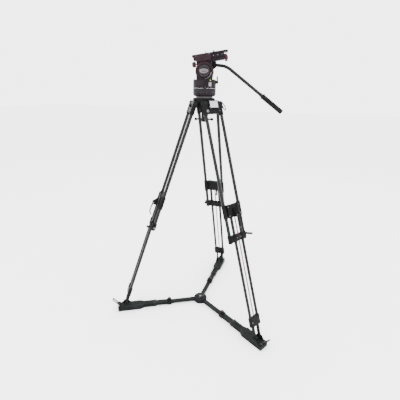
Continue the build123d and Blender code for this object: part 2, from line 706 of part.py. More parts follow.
with BuildPart() as spreader_hub:
    with BuildSketch():
        Circle(HUB_RADIUS)
    extrude(amount=HUB_HEIGHT)
    chamfer(spreader_hub.edges().filter_by(GeomType.CIRCLE).sort_by(Axis.Z)[-1], HUB_CHAMFER)
    for name, leg in legs.items():
        fixed = name == "a"
        depth = 0 if fixed else OPEN_PIVOT_DEPTH
        side, above = (0, 0) if fixed else (OPEN_PIVOT_SIDE, GAP)
        with BuildSketch(leg.arm.offset(pocket_floor - depth)):
            with Locations((0, arm_height)):
                Rectangle(inner_width + 2 * side, inner_height + 2 * above)
        extrude(amount=HUB_RADIUS, mode=Mode.SUBTRACT)

for name, leg in legs.items():
    save(shoulder(leg), f"leg_shoulder_{name}")
    save(tubes(leg, OUTER_SPACING, 0, OUTER_RADIUS, OUTER_WALL, TUBE_START, OUTER_LENGTH),
         f"upper_tubes_{name}")
    save(clamp_bracket(leg), f"clamp_bracket_{name}")
    save(clamp_lever(leg), f"clamp_lever_{name}")
    save(guide_bracket(leg), f"guide_bracket_{name}")
    save(release_lever(leg), f"release_lever_{name}")
    save(tubes(leg, INNER_SPACING, INNER_OFFSET, INNER_RADIUS, INNER_WALL, inner_start,
               INNER_LENGTH), f"lower_tubes_{name}")
    save(brake_rod(leg), f"brake_rod_{name}")
    save(foot_bracket(leg), f"foot_bracket_{name}")
    save(channel(leg), f"spreader_channel_{name}")
    save(mid_tube(leg), f"spreader_mid_tube_{name}")
    save(inner_tube(leg), f"spreader_inner_tube_{name}")
    save(arm_knob(leg), f"spreader_knob_{name}")
    save(foot_latch(leg), f"foot_latch_{name}")
save(spreader_hub, "spreader_hub")

# ---- crown and levelling bowl -----------------------------------------------
with BuildPart() as crown:
    with BuildSketch(Plane.XY.offset(crown_bottom)):
        Circle(CROWN_RADIUS)
    extrude(amount=crown_top - crown_bottom)
    for leg in legs.values():
        # room for the shoulder's knuckles on both sides of each lug
        with BuildSketch(leg.radial):
            with Locations((HINGE_RADIUS, hinge_height)):
                Circle(KNUCKLE_RADIUS + GAP)
                with Locations((POCKET_REACH, -KNUCKLE_RADIUS)):
                    Rectangle(POCKET_LENGTH, 2 * KNUCKLE_RADIUS)
        extrude(amount=CROWN_RADIUS, both=True, mode=Mode.SUBTRACT)
    for leg in legs.values():
        with BuildSketch(leg.radial):
            with Locations((HINGE_RADIUS, hinge_height)):
                Circle(LUG_RADIUS)
            with Locations(((HINGE_RADIUS + LUG_ROOT) / 2, hinge_height)):
                Rectangle(HINGE_RADIUS - LUG_ROOT, 2 * LUG_RADIUS)
        extrude(amount=LUG_HALF_WIDTH, both=True)
    with BuildSketch(Plane.XY.offset(crown_bottom)):
        Circle(CROWN_OPENING)
    extrude(amount=crown_top - crown_bottom, mode=Mode.SUBTRACT)
    with BuildSketch(Plane.XZ):
        with Locations((0, ball_centre)):
            Circle(BALL_RADIUS + GAP)
            with Locations((-BALL_RADIUS, 0)):
                Rectangle(2 * BALL_RADIUS, 3 * BALL_RADIUS, mode=Mode.SUBTRACT)
    revolve(axis=Axis.Z, mode=Mode.SUBTRACT)
    for leg in legs.values():
        with BuildSketch(leg.side):
            Circle(HINGE_PIN_RADIUS)
        extrude(amount=pin_half_length, both=True)
save(crown, "crown")

with BuildPart() as half_ball:
    with BuildSketch(Plane.XZ):
        with Locations((0, ball_centre)):
            Circle(BALL_RADIUS)
        with Locations((0, ball_centre + BALL_RADIUS)):
            Rectangle(3 * BALL_RADIUS, 2 * BALL_RADIUS, mode=Mode.SUBTRACT)
        with Locations((0, ball_bottom - BALL_RADIUS)):
            Rectangle(3 * BALL_RADIUS, 2 * BALL_RADIUS, mode=Mode.SUBTRACT)
        with Locations((-BALL_RADIUS, ball_centre)):
            Rectangle(2 * BALL_RADIUS, 3 * BALL_RADIUS, mode=Mode.SUBTRACT)
    revolve(axis=Axis.Z)
    with BuildSketch(Plane.XY.offset(ball_centre)):
        Circle(BALL_RADIUS)
    extrude(amount=BALL_NECK)
    with BuildSketch(Plane.XY.offset(stud_end)):
        Circle(STUD_RADIUS)
    extrude(amount=STUD_LENGTH)
save(half_ball, "half_ball")

with BuildPart() as clamp_cup:
    with BuildSketch(Plane.XY.offset(knob_top + GAP)):
        Circle(CLAMP_CUP_RADIUS)
        Circle(STUD_RADIUS + FIT, mode=Mode.SUBTRACT)
    extrude(amount=CLAMP_CUP_HEIGHT)
    chamfer(clamp_cup.edges().filter_by(GeomType.CIRCLE).group_by(Axis.Z)[-1].sort_by(
        SortBy.RADIUS)[-1], CLAMP_CUP_CHAMFER)
save(clamp_cup, "clamp_cup")

bar_plane = Plane(origin=(0, 0, knob_bottom + KNOB_BAR_HEIGHT), x_dir=(0, 0, 1), z_dir=rear)
with BuildPart() as tie_down_knob:
    with BuildSketch(Plane.XY.offset(knob_bottom)):
        Circle(KNOB_BODY_RADIUS)
    extrude(amount=KNOB_BODY_LENGTH)
    with BuildSketch(bar_plane):
        Circle(KNOB_BAR_RADIUS)
    extrude(amount=KNOB_BAR / 2, both=True)
    with Locations(*[rear * (side * KNOB_BAR / 2) + bar_plane.origin for side in (-1, 1)]):
        Sphere(KNOB_BALL_RADIUS)
    with BuildSketch(Plane.XY.offset(knob_top)):
        Circle(STUD_RADIUS + FIT)
    extrude(amount=stud_end - knob_top - FIT, mode=Mode.SUBTRACT)
save(tie_down_knob, "tie_down_knob")

# ---- pan stage --------------------------------------------------------------
with BuildPart() as pan_base:
    with BuildSketch(Plane.XZ):
        with BuildLine():
            Polyline(
                (SPINDLE_RADIUS + FIT, base_bottom),
                (BASE_FOOT_RADIUS, base_bottom),
                (BASE_RADIUS, base_bottom + BASE_TAPER),
                (BASE_RADIUS, base_bottom + PAN_BASE_HEIGHT),
                (PAN_BOSS_RADIUS, base_bottom + PAN_BASE_HEIGHT),
                (PAN_BOSS_RADIUS, turret_bottom - GAP),
                (SPINDLE_RADIUS + FIT, turret_bottom - GAP),
                close=True,
            )
        make_face()
    revolve(axis=Axis.Z)
save(pan_base, "pan_base")

with BuildPart() as pan_drag_ring:
    with BuildSketch(Plane.XY.offset(pan_ring_bottom)):
        Circle(BASE_RADIUS)
        Circle(PAN_BOSS_RADIUS + FIT, mode=Mode.SUBTRACT)
        with PolarLocations(BASE_RADIUS + PAN_RING_FLUTE_OFF, PAN_RING_FLUTES):
            Circle(PAN_RING_FLUTE_RADIUS, mode=Mode.SUBTRACT)
    extrude(amount=PAN_RING_HEIGHT)
save(pan_drag_ring, "pan_drag_ring")

brake_out = polar(HEAD_AZIMUTH + PAN_LEVER_AZIMUTH)
brake_plane = Plane(
    origin=brake_out * BASE_RADIUS + Vector(0, 0, turret_bottom + PAN_LEVER_HEIGHT),
    x_dir=(0, 0, 1), z_dir=brake_out)
with BuildPart() as head_body:
    with BuildSketch(Plane.XY.offset(turret_bottom)):
        Circle(BASE_RADIUS)
    extrude(amount=TURRET_HEIGHT)
    chamfer(head_body.edges().filter_by(GeomType.CIRCLE).sort_by(Axis.Z)[-1], TURRET_CHAMFER)
    with BuildSketch(Plane.XY.offset(base_bottom + SPINDLE_START)):
        Circle(SPINDLE_RADIUS)
    extrude(amount=turret_bottom - base_bottom - SPINDLE_START)
    for side in (-1, 1):
        with BuildSketch(head_side.offset(side * yoke_inside)):
            Circle(YOKE_RADIUS)
            with BuildLine():
                Polyline(
                    (-YOKE_FOOT / 2, -TILT_ABOVE_TURRET - YOKE_SEAT),
                    (YOKE_FOOT / 2, -TILT_ABOVE_TURRET - YOKE_SEAT),
                    (YOKE_CHORD, 0),
                    (-YOKE_CHORD, 0),
                    close=True,
                )
            make_face()
        extrude(amount=side * YOKE_THICKNESS)
    with BuildSketch(head_side):
        Circle(TILT_PIN_RADIUS)
    extrude(amount=yoke_outside, both=True)
    with BuildSketch(head_side):
        Circle(LEVER_PIN_RADIUS)
    extrude(amount=yoke_outside + TILT_KNOB_THICKNESS - KNOB_CAP, both=True)
    with BuildSketch(brake_plane.offset(-PAN_BOSS_LEVER_RADIUS)):
        Circle(PAN_BOSS_LEVER_RADIUS)
    extrude(amount=PAN_BOSS_LEVER_RADIUS + PAN_LEVER_BOSS)
    with BuildSketch(brake_plane):
        Circle(LEVER_PIN_RADIUS)
    extrude(amount=PAN_LEVER_BOSS + GAP + LEVER_THICKNESS)
save(head_body, "head_body")

with BuildPart() as pan_brake_lever:
    with BuildSketch(brake_plane.offset(PAN_LEVER_BOSS + GAP)):
        with Locations((PAN_LEVER_RISE, 0)):
            SlotOverall(PAN_LEVER_LENGTH, PAN_LEVER_WIDTH)
        Circle(PAN_LEVER_HUB)
        Circle(LEVER_PIN_RADIUS + FIT, mode=Mode.SUBTRACT)
    extrude(amount=LEVER_THICKNESS)
save(pan_brake_lever, "pan_brake_lever")


tilt_drag_knob = disc_knob(head_side, yoke_outside + GAP, TILT_KNOB_RADIUS,
                           TILT_KNOB_THICKNESS - GAP, TILT_KNOB_FLUTES,
                           TILT_KNOB_FLUTE_RADIUS)
save(tilt_drag_knob, "tilt_drag_knob")

with BuildPart() as tilt_brake_lever:
    with BuildSketch(head_side.offset(-yoke_outside - GAP)):
        Circle(TILT_LEVER_HUB)
        with Locations((-TILT_LEVER_OFF, -TILT_LEVER_OFF)):
            SlotCenterToCenter(TILT_LEVER_LENGTH, TILT_LEVER_WIDTH, rotation=45)
        Circle(LEVER_PIN_RADIUS + FIT, mode=Mode.SUBTRACT)
    extrude(amount=-LEVER_THICKNESS)
save(tilt_brake_lever, "tilt_brake_lever")

# ---- tilting stage ----------------------------------------------------------
with BuildPart() as tilt_housing:
    # drum between the yoke's cheeks, with the neck that carries the plate's seat
    with BuildSketch(tilt_side):
        Circle(DRUM_RADIUS)
        with BuildLine():
            Polyline(
                (-NECK_ROOT, 0),
                (NECK_ROOT, 0),
                (NECK_REAR, HOUSING_BOTTOM),
                (-NECK_FRONT, HOUSING_BOTTOM),
                close=True,
            )
        make_face()
    extrude(amount=DRUM_HALF_WIDTH, both=True)
    with BuildSketch(tilt_end.offset(-HOUSING_FRONT)):
        with Locations((0, (HOUSING_BOTTOM + HOUSING_TOP) / 2)):
            Rectangle(2 * HOUSING_HALF_WIDTH, HOUSING_TOP - HOUSING_BOTTOM)
    extrude(amount=HOUSING_FRONT + HOUSING_REAR)
    with BuildSketch(tilt_end.offset(-NECK_FRONT)):
        with Locations((0, (SHOULDER_BOTTOM + HOUSING_BOTTOM) / 2)):
            Rectangle(2 * (boss_inside + SHOULDER_OVERHANG), HOUSING_BOTTOM - SHOULDER_BOTTOM)
    extrude(amount=NECK_FRONT + NECK_REAR)
    with BuildSketch(tilt_end.offset(NECK_REAR - HOUSING_SEAT)):
        with Locations((0, (REAR_BOTTOM + HOUSING_BOTTOM) / 2)):
            Rectangle(2 * REAR_HALF_WIDTH, HOUSING_BOTTOM - REAR_BOTTOM)
    extrude(amount=HOUSING_REAR - NECK_REAR + HOUSING_SEAT)
    # boss on the far side that the pan bar's rosette seats on
    with BuildSketch(head_side.offset(-boss_inside)):
        with Locations((ROSETTE_REAR, ROSETTE_ABOVE)):
            Circle(ROSETTE_RADIUS)
        with Locations((ROSETTE_REAR, ROSETTE_ABOVE + ROSETTE_ARM / 2)):
            Rectangle(ROSETTE_ARM_WIDTH, ROSETTE_ARM)
    extrude(amount=-ROSETTE_THICKNESS)
    with BuildSketch(head_side.offset(-boss_inside)):
        with Locations((ROSETTE_REAR, ROSETTE_ABOVE)):
            Circle(LEVER_PIN_RADIUS)
    extrude(amount=boss_inside - knob_seat - BAR_KNOB_THICKNESS + KNOB_CAP + GAP)
    # dovetail that the camera plate slides in
    with BuildSketch(tilt_end.offset(-HOUSING_FRONT)):
        with BuildLine():
            Polyline(
                (-PLATE_HALF_WIDTH - GAP, PLATE_BOTTOM - GAP),
                (PLATE_HALF_WIDTH + GAP, PLATE_BOTTOM - GAP),
                (PLATE_TOP_HALF_WIDTH + 1.5 * GAP, PLATE_TOP),
                (-PLATE_TOP_HALF_WIDTH - 1.5 * GAP, PLATE_TOP),
                close=True,
            )
        make_face()
    extrude(amount=HOUSING_FRONT + HOUSING_REAR, mode=Mode.SUBTRACT)
    with BuildSketch(head_side):
        Circle(TILT_PIN_RADIUS + FIT)
    extrude(amount=DRUM_HALF_WIDTH, both=True, mode=Mode.SUBTRACT)
    # spindles of the two small knobs
    with BuildSketch(tilt_end.offset(HOUSING_REAR)):
        with Locations((0, PLATE_BRAKE_HEIGHT)):
            Circle(LEVER_PIN_RADIUS)
    extrude(amount=plate_brake_seat + PLATE_BRAKE_LENGTH - KNOB_CAP - HOUSING_REAR)
    with BuildSketch(tilt_end.offset(-NECK_FRONT + BALANCE_SPINDLE_SEAT)):
        with Locations((0, BALANCE_KNOB_HEIGHT)):
            Circle(LEVER_PIN_RADIUS)
    extrude(amount=balance_seat - BALANCE_KNOB_LENGTH + KNOB_CAP + NECK_FRONT
            - BALANCE_SPINDLE_SEAT)
save(tilt_housing, "tilt_housing")


def spindle_plane(height):
    """Plane across the tilting stage, centred on a knob's spindle."""
    return Plane(origin=tilt_end.from_local_coords((0, height, 0)), x_dir=far, z_dir=tilt_x)


plate_brake_knob = disc_knob(spindle_plane(PLATE_BRAKE_HEIGHT), plate_brake_seat,
                             PLATE_BRAKE_RADIUS, PLATE_BRAKE_LENGTH, PLATE_BRAKE_LOBES,
                             PLATE_BRAKE_FLUTE_RADIUS)
save(plate_brake_knob, "plate_brake_knob")
balance_knob = disc_knob(spindle_plane(BALANCE_KNOB_HEIGHT), balance_seat,
                         BALANCE_KNOB_RADIUS, BALANCE_KNOB_LENGTH, BALANCE_KNOB_FLUTES,
                         BALANCE_KNOB_FLUTE_RADIUS)
save(balance_knob, "balance_knob")

with BuildPart() as slide_plate:
    with BuildSketch(tilt_end.offset(PLATE_CENTRE - PLATE_LENGTH / 2)):
        with BuildLine():
            Polyline(
                (-PLATE_HALF_WIDTH, PLATE_BOTTOM),
                (PLATE_HALF_WIDTH, PLATE_BOTTOM),
                (PLATE_TOP_HALF_WIDTH, PLATE_TOP),
                (-PLATE_TOP_HALF_WIDTH, PLATE_TOP),
                close=True,
            )
        make_face()
    extrude(amount=PLATE_LENGTH)
    for place, radius in ((PLATE_CENTRE + SCREW_SPACING / 2, BIG_SCREW_RADIUS),
                          (PLATE_CENTRE - SCREW_SPACING / 2, SMALL_SCREW_RADIUS)):
        with BuildSketch(tilt_top.offset(PLATE_TOP)):
            with Locations((place, 0)):
                Circle(radius)
        extrude(amount=SCREW_LENGTH)
save(slide_plate, "slide_plate")

# ---- pan bar ----------------------------------------------------------------
rosette = (ROSETTE_REAR, ROSETTE_ABOVE)
bend = (BAR_BEND_REAR, ROSETTE_ABOVE - BAR_BEND_DROP)
slope = (cos(radians(BAR_SLOPE)), -sin(radians(BAR_SLOPE)))
grip_start = (bend[0] + BAR_SHAFT * slope[0], bend[1] + BAR_SHAFT * slope[1])
bar_reach = BAR_SHAFT + GRIP_LENGTH - GRIP_CAP
bar_end = (bend[0] + bar_reach * slope[0], bend[1] + bar_reach * slope[1])
bar_side = head_side.offset(-bar_offset)
with BuildPart() as pan_bar:
    with BuildLine(bar_side) as path:
        FilletPolyline(rosette, bend, bar_end, radius=BAR_BEND_RADIUS)
    start = path.line @ 0
    with BuildSketch(Plane(origin=start, x_dir=far, z_dir=path.line % 0)):
        Circle(BAR_RADIUS)
    sweep(path=path.line)
    with BuildSketch(head_side.offset(-boss_outside - GAP)):
        with Locations(rosette):
            Circle(ROSETTE_RADIUS - 1)
    extrude(amount=-2 * BAR_BOSS_HALF)
    with BuildSketch(head_side.offset(-boss_outside)):
        with Locations(rosette):
            Circle(LEVER_PIN_RADIUS + FIT)
    extrude(amount=-4 * BAR_BOSS_HALF, mode=Mode.SUBTRACT)
save(pan_bar, "pan_bar")

grip_plane = Plane(origin=bar_side.from_local_coords((*grip_start, 0)), x_dir=far,
                   z_dir=rear * slope[0] + Vector(0, 0, slope[1]))
with BuildPart() as pan_grip:
    with BuildSketch(grip_plane):
        Circle(GRIP_RADIUS)
    extrude(amount=GRIP_LENGTH)
    with BuildSketch(grip_plane):
        Circle(GRIP_RADIUS + GRIP_FLANGE)
    extrude(amount=GRIP_FLANGE_LENGTH)
    chamfer(pan_grip.edges().filter_by(GeomType.CIRCLE).group_by(
        lambda edge: round(grip_plane.to_local_coords(edge.center()).Z, 2))[-1], GRIP_CHAMFER)
    with BuildSketch(grip_plane):
        Circle(BAR_RADIUS)
    extrude(amount=GRIP_LENGTH - GRIP_CAP, mode=Mode.SUBTRACT)
save(pan_grip, "pan_grip")

knob_plane = Plane(origin=head_side.from_local_coords((*rosette, -knob_seat)), x_dir=rear,
                   z_dir=far)
pan_bar_knob = disc_knob(knob_plane, 0, BAR_KNOB_RADIUS, BAR_KNOB_THICKNESS, BAR_KNOB_LOBES,
                         BAR_KNOB_FLUTE_RADIUS)
save(pan_bar_knob, "pan_bar_knob")
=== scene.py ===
"""Looks of a camera tripod with a fluid head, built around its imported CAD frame."""

from __future__ import annotations

import json
import logging
from dataclasses import dataclass
from enum import Enum
from math import cos, radians, sin, tau

import bmesh
import bpy
from mathutils import Matrix, Vector


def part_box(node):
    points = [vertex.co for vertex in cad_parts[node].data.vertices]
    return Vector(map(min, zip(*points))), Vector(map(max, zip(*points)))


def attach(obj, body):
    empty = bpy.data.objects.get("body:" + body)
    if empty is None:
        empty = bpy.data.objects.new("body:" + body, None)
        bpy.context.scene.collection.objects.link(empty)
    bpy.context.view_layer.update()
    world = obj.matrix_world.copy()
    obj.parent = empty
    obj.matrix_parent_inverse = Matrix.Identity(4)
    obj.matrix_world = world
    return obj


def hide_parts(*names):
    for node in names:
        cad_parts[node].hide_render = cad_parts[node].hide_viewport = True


log = logging.getLogger("tripod")
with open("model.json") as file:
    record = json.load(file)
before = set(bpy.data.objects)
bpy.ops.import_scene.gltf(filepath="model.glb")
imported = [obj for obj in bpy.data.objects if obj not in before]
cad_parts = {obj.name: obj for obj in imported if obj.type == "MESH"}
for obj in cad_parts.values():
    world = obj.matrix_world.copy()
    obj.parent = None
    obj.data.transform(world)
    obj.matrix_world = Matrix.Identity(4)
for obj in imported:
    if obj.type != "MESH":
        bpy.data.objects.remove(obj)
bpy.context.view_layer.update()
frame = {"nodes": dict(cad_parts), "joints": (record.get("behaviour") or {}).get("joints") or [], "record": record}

MM = 0.001
UP = Vector((0, 0, 1))
SHARP = radians(32)
LEGS = ("a", "b", "c")
Colour = tuple[float, float, float]
JOINTS = {joint["name"]: joint for joint in frame["joints"]}


def joint_point(name: str) -> Vector:
    """A hinge's point, in metres."""
    return Vector(JOINTS[name]["pos_m"])


def joint_axis(name: str) -> Vector:
    """A joint's axis as a unit vector."""
    return Vector(JOINTS[name]["axis"]).normalized()


@dataclass(frozen=True)
class Axes:
    """A right-handed local frame in which a piece is shaped."""

    origin: Vector
    x: Vector
    z: Vector

    @property
    def y(self) -> Vector:
        """The third direction."""
        return self.z.cross(self.x)

    @property
    def matrix(self) -> Matrix:
        """From local coordinates to the row frame."""
        turn = Matrix((self.x, self.y, self.z)).transposed().to_4x4()
        return Matrix.Translation(self.origin) @ turn

    def at(self, x: float = 0, y: float = 0, z: float = 0) -> Axes:
        """The same directions from another origin, given in millimetres.

        Args:
            x: Move along x.
            y: Move along y.
            z: Move along z.

        Returns:
            The moved frame.
        """
        move = (self.x * x + self.y * y + self.z * z) * MM
        return Axes(self.origin + move, self.x, self.z)

    def facing(self, z: Vector, x: Vector) -> Axes:
        """The same origin with other directions; x is made square to z.

        Args:
            z: The new third direction.
            x: About the new first direction.

        Returns:
            The turned frame.
        """
        z = z.normalized()
        x = (x - z * x.dot(z)).normalized()
        return Axes(self.origin, x, z)


# ---- finishes ----------------------------------------------------------------
class Graph:
    """A small helper that wires up one material's nodes."""

    def __init__(self, name: str) -> None:
        """Start a material with a shader and an output.

        Args:
            name: The material's name.
        """
        self.material = bpy.data.materials.new(name)
        self.material.use_nodes = True
        self.tree = self.material.node_tree
        self.tree.nodes.clear()
        self.shader = self.add("ShaderNodeBsdfPrincipled")
        output = self.add("ShaderNodeOutputMaterial")
        self.link(self.shader.outputs["BSDF"], output.inputs["Surface"])
        self.place = self.add("ShaderNodeTexCoord").outputs["Object"]

    def add(self, kind: str, **settings: object) -> bpy.types.Node:
        """Add a node and set its properties.

        Args:
            kind: The node's type.
            **settings: Properties to set on it.

        Returns:
            The new node.
        """
        node = self.tree.nodes.new(kind)
        for key, value in settings.items():
            setattr(node, key, value)
        return node

    def link(self, start: bpy.types.NodeSocket, end: bpy.types.NodeSocket) -> None:
        """Join two sockets."""
        self.tree.links.new(start, end)

    def noise(self, scale: float, detail: float = 4, roughness: float = 0.55,
              place: bpy.types.NodeSocket | None = None) -> bpy.types.NodeSocket:
        """Cloudy noise, by default on the object's own coordinates.

        Args:
            scale: How fine it is.
            detail: How many octaves it has.
            roughness: How strong the fine octaves are.
            place: Coordinates other than the object's own.

        Returns:
            The noise.
        """
        node = self.add("ShaderNodeTexNoise")
        node.inputs["Scale"].default_value = scale
        node.inputs["Detail"].default_value = detail
        node.inputs["Roughness"].default_value = roughness
        self.link(place or self.place, node.inputs["Vector"])
        return node.outputs["Fac"]

    def stretched(self, scale: Colour, turn: Colour = (0, 0, 0)) -> bpy.types.NodeSocket:
        """The object's coordinates turned and scaled unevenly.

        Args:
            scale: Scale along each direction.
            turn: Turn about each direction.

        Returns:
            The coordinates.
        """
        node = self.add("ShaderNodeMapping")
        node.inputs["Scale"].default_value = scale
        node.inputs["Rotation"].default_value = turn
        self.link(self.place, node.inputs["Vector"])
        return node.outputs["Vector"]

    def ramp(self, factor: bpy.types.NodeSocket, stops: dict[float, Colour]) -> bpy.types.NodeSocket:
        """A colour ramp with a stop at each key.

        Args:
            factor: Where on the ramp to read.
            stops: A colour for each place.

        Returns:
            The colour.
        """
        node = self.add("ShaderNodeValToRGB")
        places = sorted(stops)
        while len(node.color_ramp.elements) < len(places):
            node.color_ramp.elements.new(0.5)
        for element, place in zip(node.color_ramp.elements, places):
            element.position = place
            element.color = (*stops[place], 1)
        self.link(factor, node.inputs["Fac"])
        return node.outputs["Color"]

    def span(self, value: bpy.types.NodeSocket, low: float, high: float,
             source: tuple[float, float] = (0.3, 0.7)) -> bpy.types.NodeSocket:
        """Map a value from the source range to low to high.

        Args:
            value: The value to map.
            low: What the start of the source range becomes.
            high: What its end becomes.
            source: The source range.

        Returns:
            The mapped value.
        """
        node = self.add("ShaderNodeMapRange")
        node.inputs["From Min"].default_value = source[0]
        node.inputs["From Max"].default_value = source[1]
        node.inputs["To Min"].default_value = low
        node.inputs["To Max"].default_value = high
        self.link(value, node.inputs["Value"])
        return node.outputs["Result"]

    def mix(self, factor: bpy.types.NodeSocket, first: bpy.types.NodeSocket | Colour,
            second: bpy.types.NodeSocket | Colour) -> bpy.types.NodeSocket:
        """Mix two colours by a factor.

        Args:
            factor: How much of the second colour to take.
            first: A colour or a socket.
            second: A colour or a socket.

        Returns:
            The mixed colour.
        """
        node = self.add("ShaderNodeMix", data_type="RGBA")
        self.link(factor, node.inputs["Factor"])
        for socket, value in ((node.inputs[6], first), (node.inputs[7], second)):
            if isinstance(value, bpy.types.NodeSocket):
                self.link(value, socket)
            else:
                socket.default_value = (*value, 1)
        return node.outputs[2]

    def rounded(self, radius: float) -> bpy.types.NodeSocket:
        """Normals that look rounded at sharp edges.

        Args:
            radius: The radius in metres.

        Returns:
            The normals.
        """
        node = self.add("ShaderNodeBevel", samples=4)
        node.inputs["Radius"].default_value = radius
        return node.outputs["Normal"]

    def edges(self, normal: bpy.types.NodeSocket) -> bpy.types.NodeSocket:
        """One on worn edges and zero elsewhere, from rounded normals.

        Args:
            normal: The rounded normals.

        Returns:
            The mask.
        """
        true = self.add("ShaderNodeNewGeometry").outputs["True Normal"]
        dot = self.add("ShaderNodeVectorMath", operation="DOT_PRODUCT")
        self.link(normal, dot.inputs[0])
        self.link(true, dot.inputs[1])
        return self.span(dot.outputs["Value"], 1, 0, (0.72, 0.97))

    def product(self, first: bpy.types.NodeSocket, second: bpy.types.NodeSocket) -> bpy.types.NodeSocket:
        """Multiply two values.

        Args:
            first: One value.
            second: The other value.

        Returns:
            The product.
        """
        node = self.add("ShaderNodeMath", operation="MULTIPLY")
        self.link(first, node.inputs[0])
        self.link(second, node.inputs[1])
        return node.outputs["Value"]

    def bump(self, height: bpy.types.NodeSocket, depth: float,
             normal: bpy.types.NodeSocket | None = None) -> None:
        """Raise the surface by a height; depth is in metres.

        Args:
            height: The height.
            depth: The depth of a height of one.
            normal: Normals to start from.
        """
        node = self.add("ShaderNodeBump")
        node.inputs["Strength"].default_value = 1
        node.inputs["Distance"].default_value = depth
        self.link(height, node.inputs["Height"])
        if normal:
            self.link(normal, node.inputs["Normal"])
        self.link(node.outputs["Normal"], self.shader.inputs["Normal"])

    def set(self, **values: float | Colour) -> None:
        """Set the shader's own sockets; underscores stand for spaces."""
        for key, value in values.items():
            socket = self.shader.inputs[key.replace("_", " ")]
            socket.default_value = (*value, 1) if isinstance(value, tuple) else value


@dataclass(frozen=True)
class Finish:
    """A finish with a mottled colour, a fine surface texture and worn edges."""

    name: str
    dark: Colour
    base: Colour
    light: Colour
    worn: Colour
    roughness: tuple[float, float]
    metallic: float = 0.0
    specular: float = 0.5
    coat: float = 0.0
    grain: float = 900.0
    depth: float = 0.00008
    edge: float = 0.0009
    patches: float = 22.0
    wear: float = 0.55

    def make(self) -> bpy.types.Material:
        """Build the material.

        Returns:
            The material.
        """
        graph = Graph(self.name)
        patch = graph.noise(self.patches)
        body = graph.ramp(patch, {0.3: self.dark, 0.52: self.base, 0.75: self.light})
        normal = graph.rounded(self.edge)
        worn = graph.product(graph.edges(normal),
                             graph.span(graph.noise(self.patches * 9), 0, self.wear))
        graph.link(graph.mix(worn, body, self.worn), graph.shader.inputs["Base Color"])
        grain = self.texture(graph)
        rough = graph.span(graph.noise(self.patches * 4), *self.roughness)
        graph.link(rough, graph.shader.inputs["Roughness"])
        graph.bump(grain, self.depth, normal)
        graph.set(Metallic=self.metallic, Specular_IOR_Level=self.specular,
                  Coat_Weight=self.coat, Coat_Roughness=0.25)
        return graph.material

    def texture(self, graph: Graph) -> bpy.types.NodeSocket:
        """The fine relief of the surface."""
        return graph.noise(self.grain, 2)


@dataclass(frozen=True)
class Crackle(Finish):
    """Paint that dries to a fine pebbled skin over a casting."""

    def texture(self, graph: Graph) -> bpy.types.NodeSocket:
        """Pebbles from a cell pattern.

        Args:
            graph: The material's nodes.

        Returns:
            The height.
        """
        node = graph.add("ShaderNodeTexVoronoi", feature="SMOOTH_F1")
        node.inputs["Scale"].default_value = self.grain
        node.inputs["Smoothness"].default_value = 0.6
        graph.link(graph.place, node.inputs["Vector"])
        return node.outputs["Distance"]


@dataclass(frozen=True)
class Drawn(Finish):
    """Drawn and anodised tube with faint lines along its length."""

    down: Colour = (0, 0, 1)

    def texture(self, graph: Graph) -> bpy.types.NodeSocket:
        """Fine lines along the direction of drawing.

        Args:
            graph: The material's nodes.

        Returns:
            The height.
        """
        turn = Vector(self.down).to_track_quat("Z", "Y").inverted().to_euler("XYZ")
        lines = graph.stretched((self.grain, self.grain, self.grain * 0.012), tuple(turn))
        return graph.noise(1, 2, place=lines)


@dataclass(frozen=True)
class Pimpled(Finish):
    """Moulded rubber with a rough skin."""

    def texture(self, graph: Graph) -> bpy.types.NodeSocket:
        """Pimples over the whole skin."""
        return graph.noise(self.grain, 3, 0.7)


@dataclass(frozen=True)
class Printed(Finish):
    """Metallised label with rows of faint grey dashes."""

    def make(self) -> bpy.types.Material:
        """Build the material.

        Returns:
            The material.
        """
        graph = Graph(self.name)
        patch = graph.noise(self.patches)
        body = graph.ramp(patch, {0.3: self.dark, 0.7: self.light})
        dashes = graph.noise(1, 1, place=graph.stretched((260, 260, 900)))
        marks = graph.span(dashes, 0, 0.5, (0.56, 0.6))
        graph.link(graph.mix(marks, body, self.worn), graph.shader.inputs["Base Color"])
        graph.link(graph.span(graph.noise(self.grain), *self.roughness),
                   graph.shader.inputs["Roughness"])
        graph.set(Metallic=self.metallic, Specular_IOR_Level=self.specular)
        return graph.material


@dataclass(frozen=True)
class Fluid:
    """Bright green liquid in a level's vial, under a clear dome."""

    name: str = "level_fluid"
    colour: Colour = (0.20, 0.36, 0.05)

    def make(self) -> bpy.types.Material:
        """Build the material.

        Returns:
            The material.
        """
        graph = Graph(self.name)
        tint = graph.ramp(graph.noise(300), {0.3: self.colour, 0.8: (0.32, 0.46, 0.14)})
        graph.link(tint, graph.shader.inputs["Base Color"])
        graph.set(Roughness=0.05, Coat_Weight=1.0, Coat_Roughness=0.02,
                  Transmission_Weight=0.25, IOR=1.4)
        return graph.material


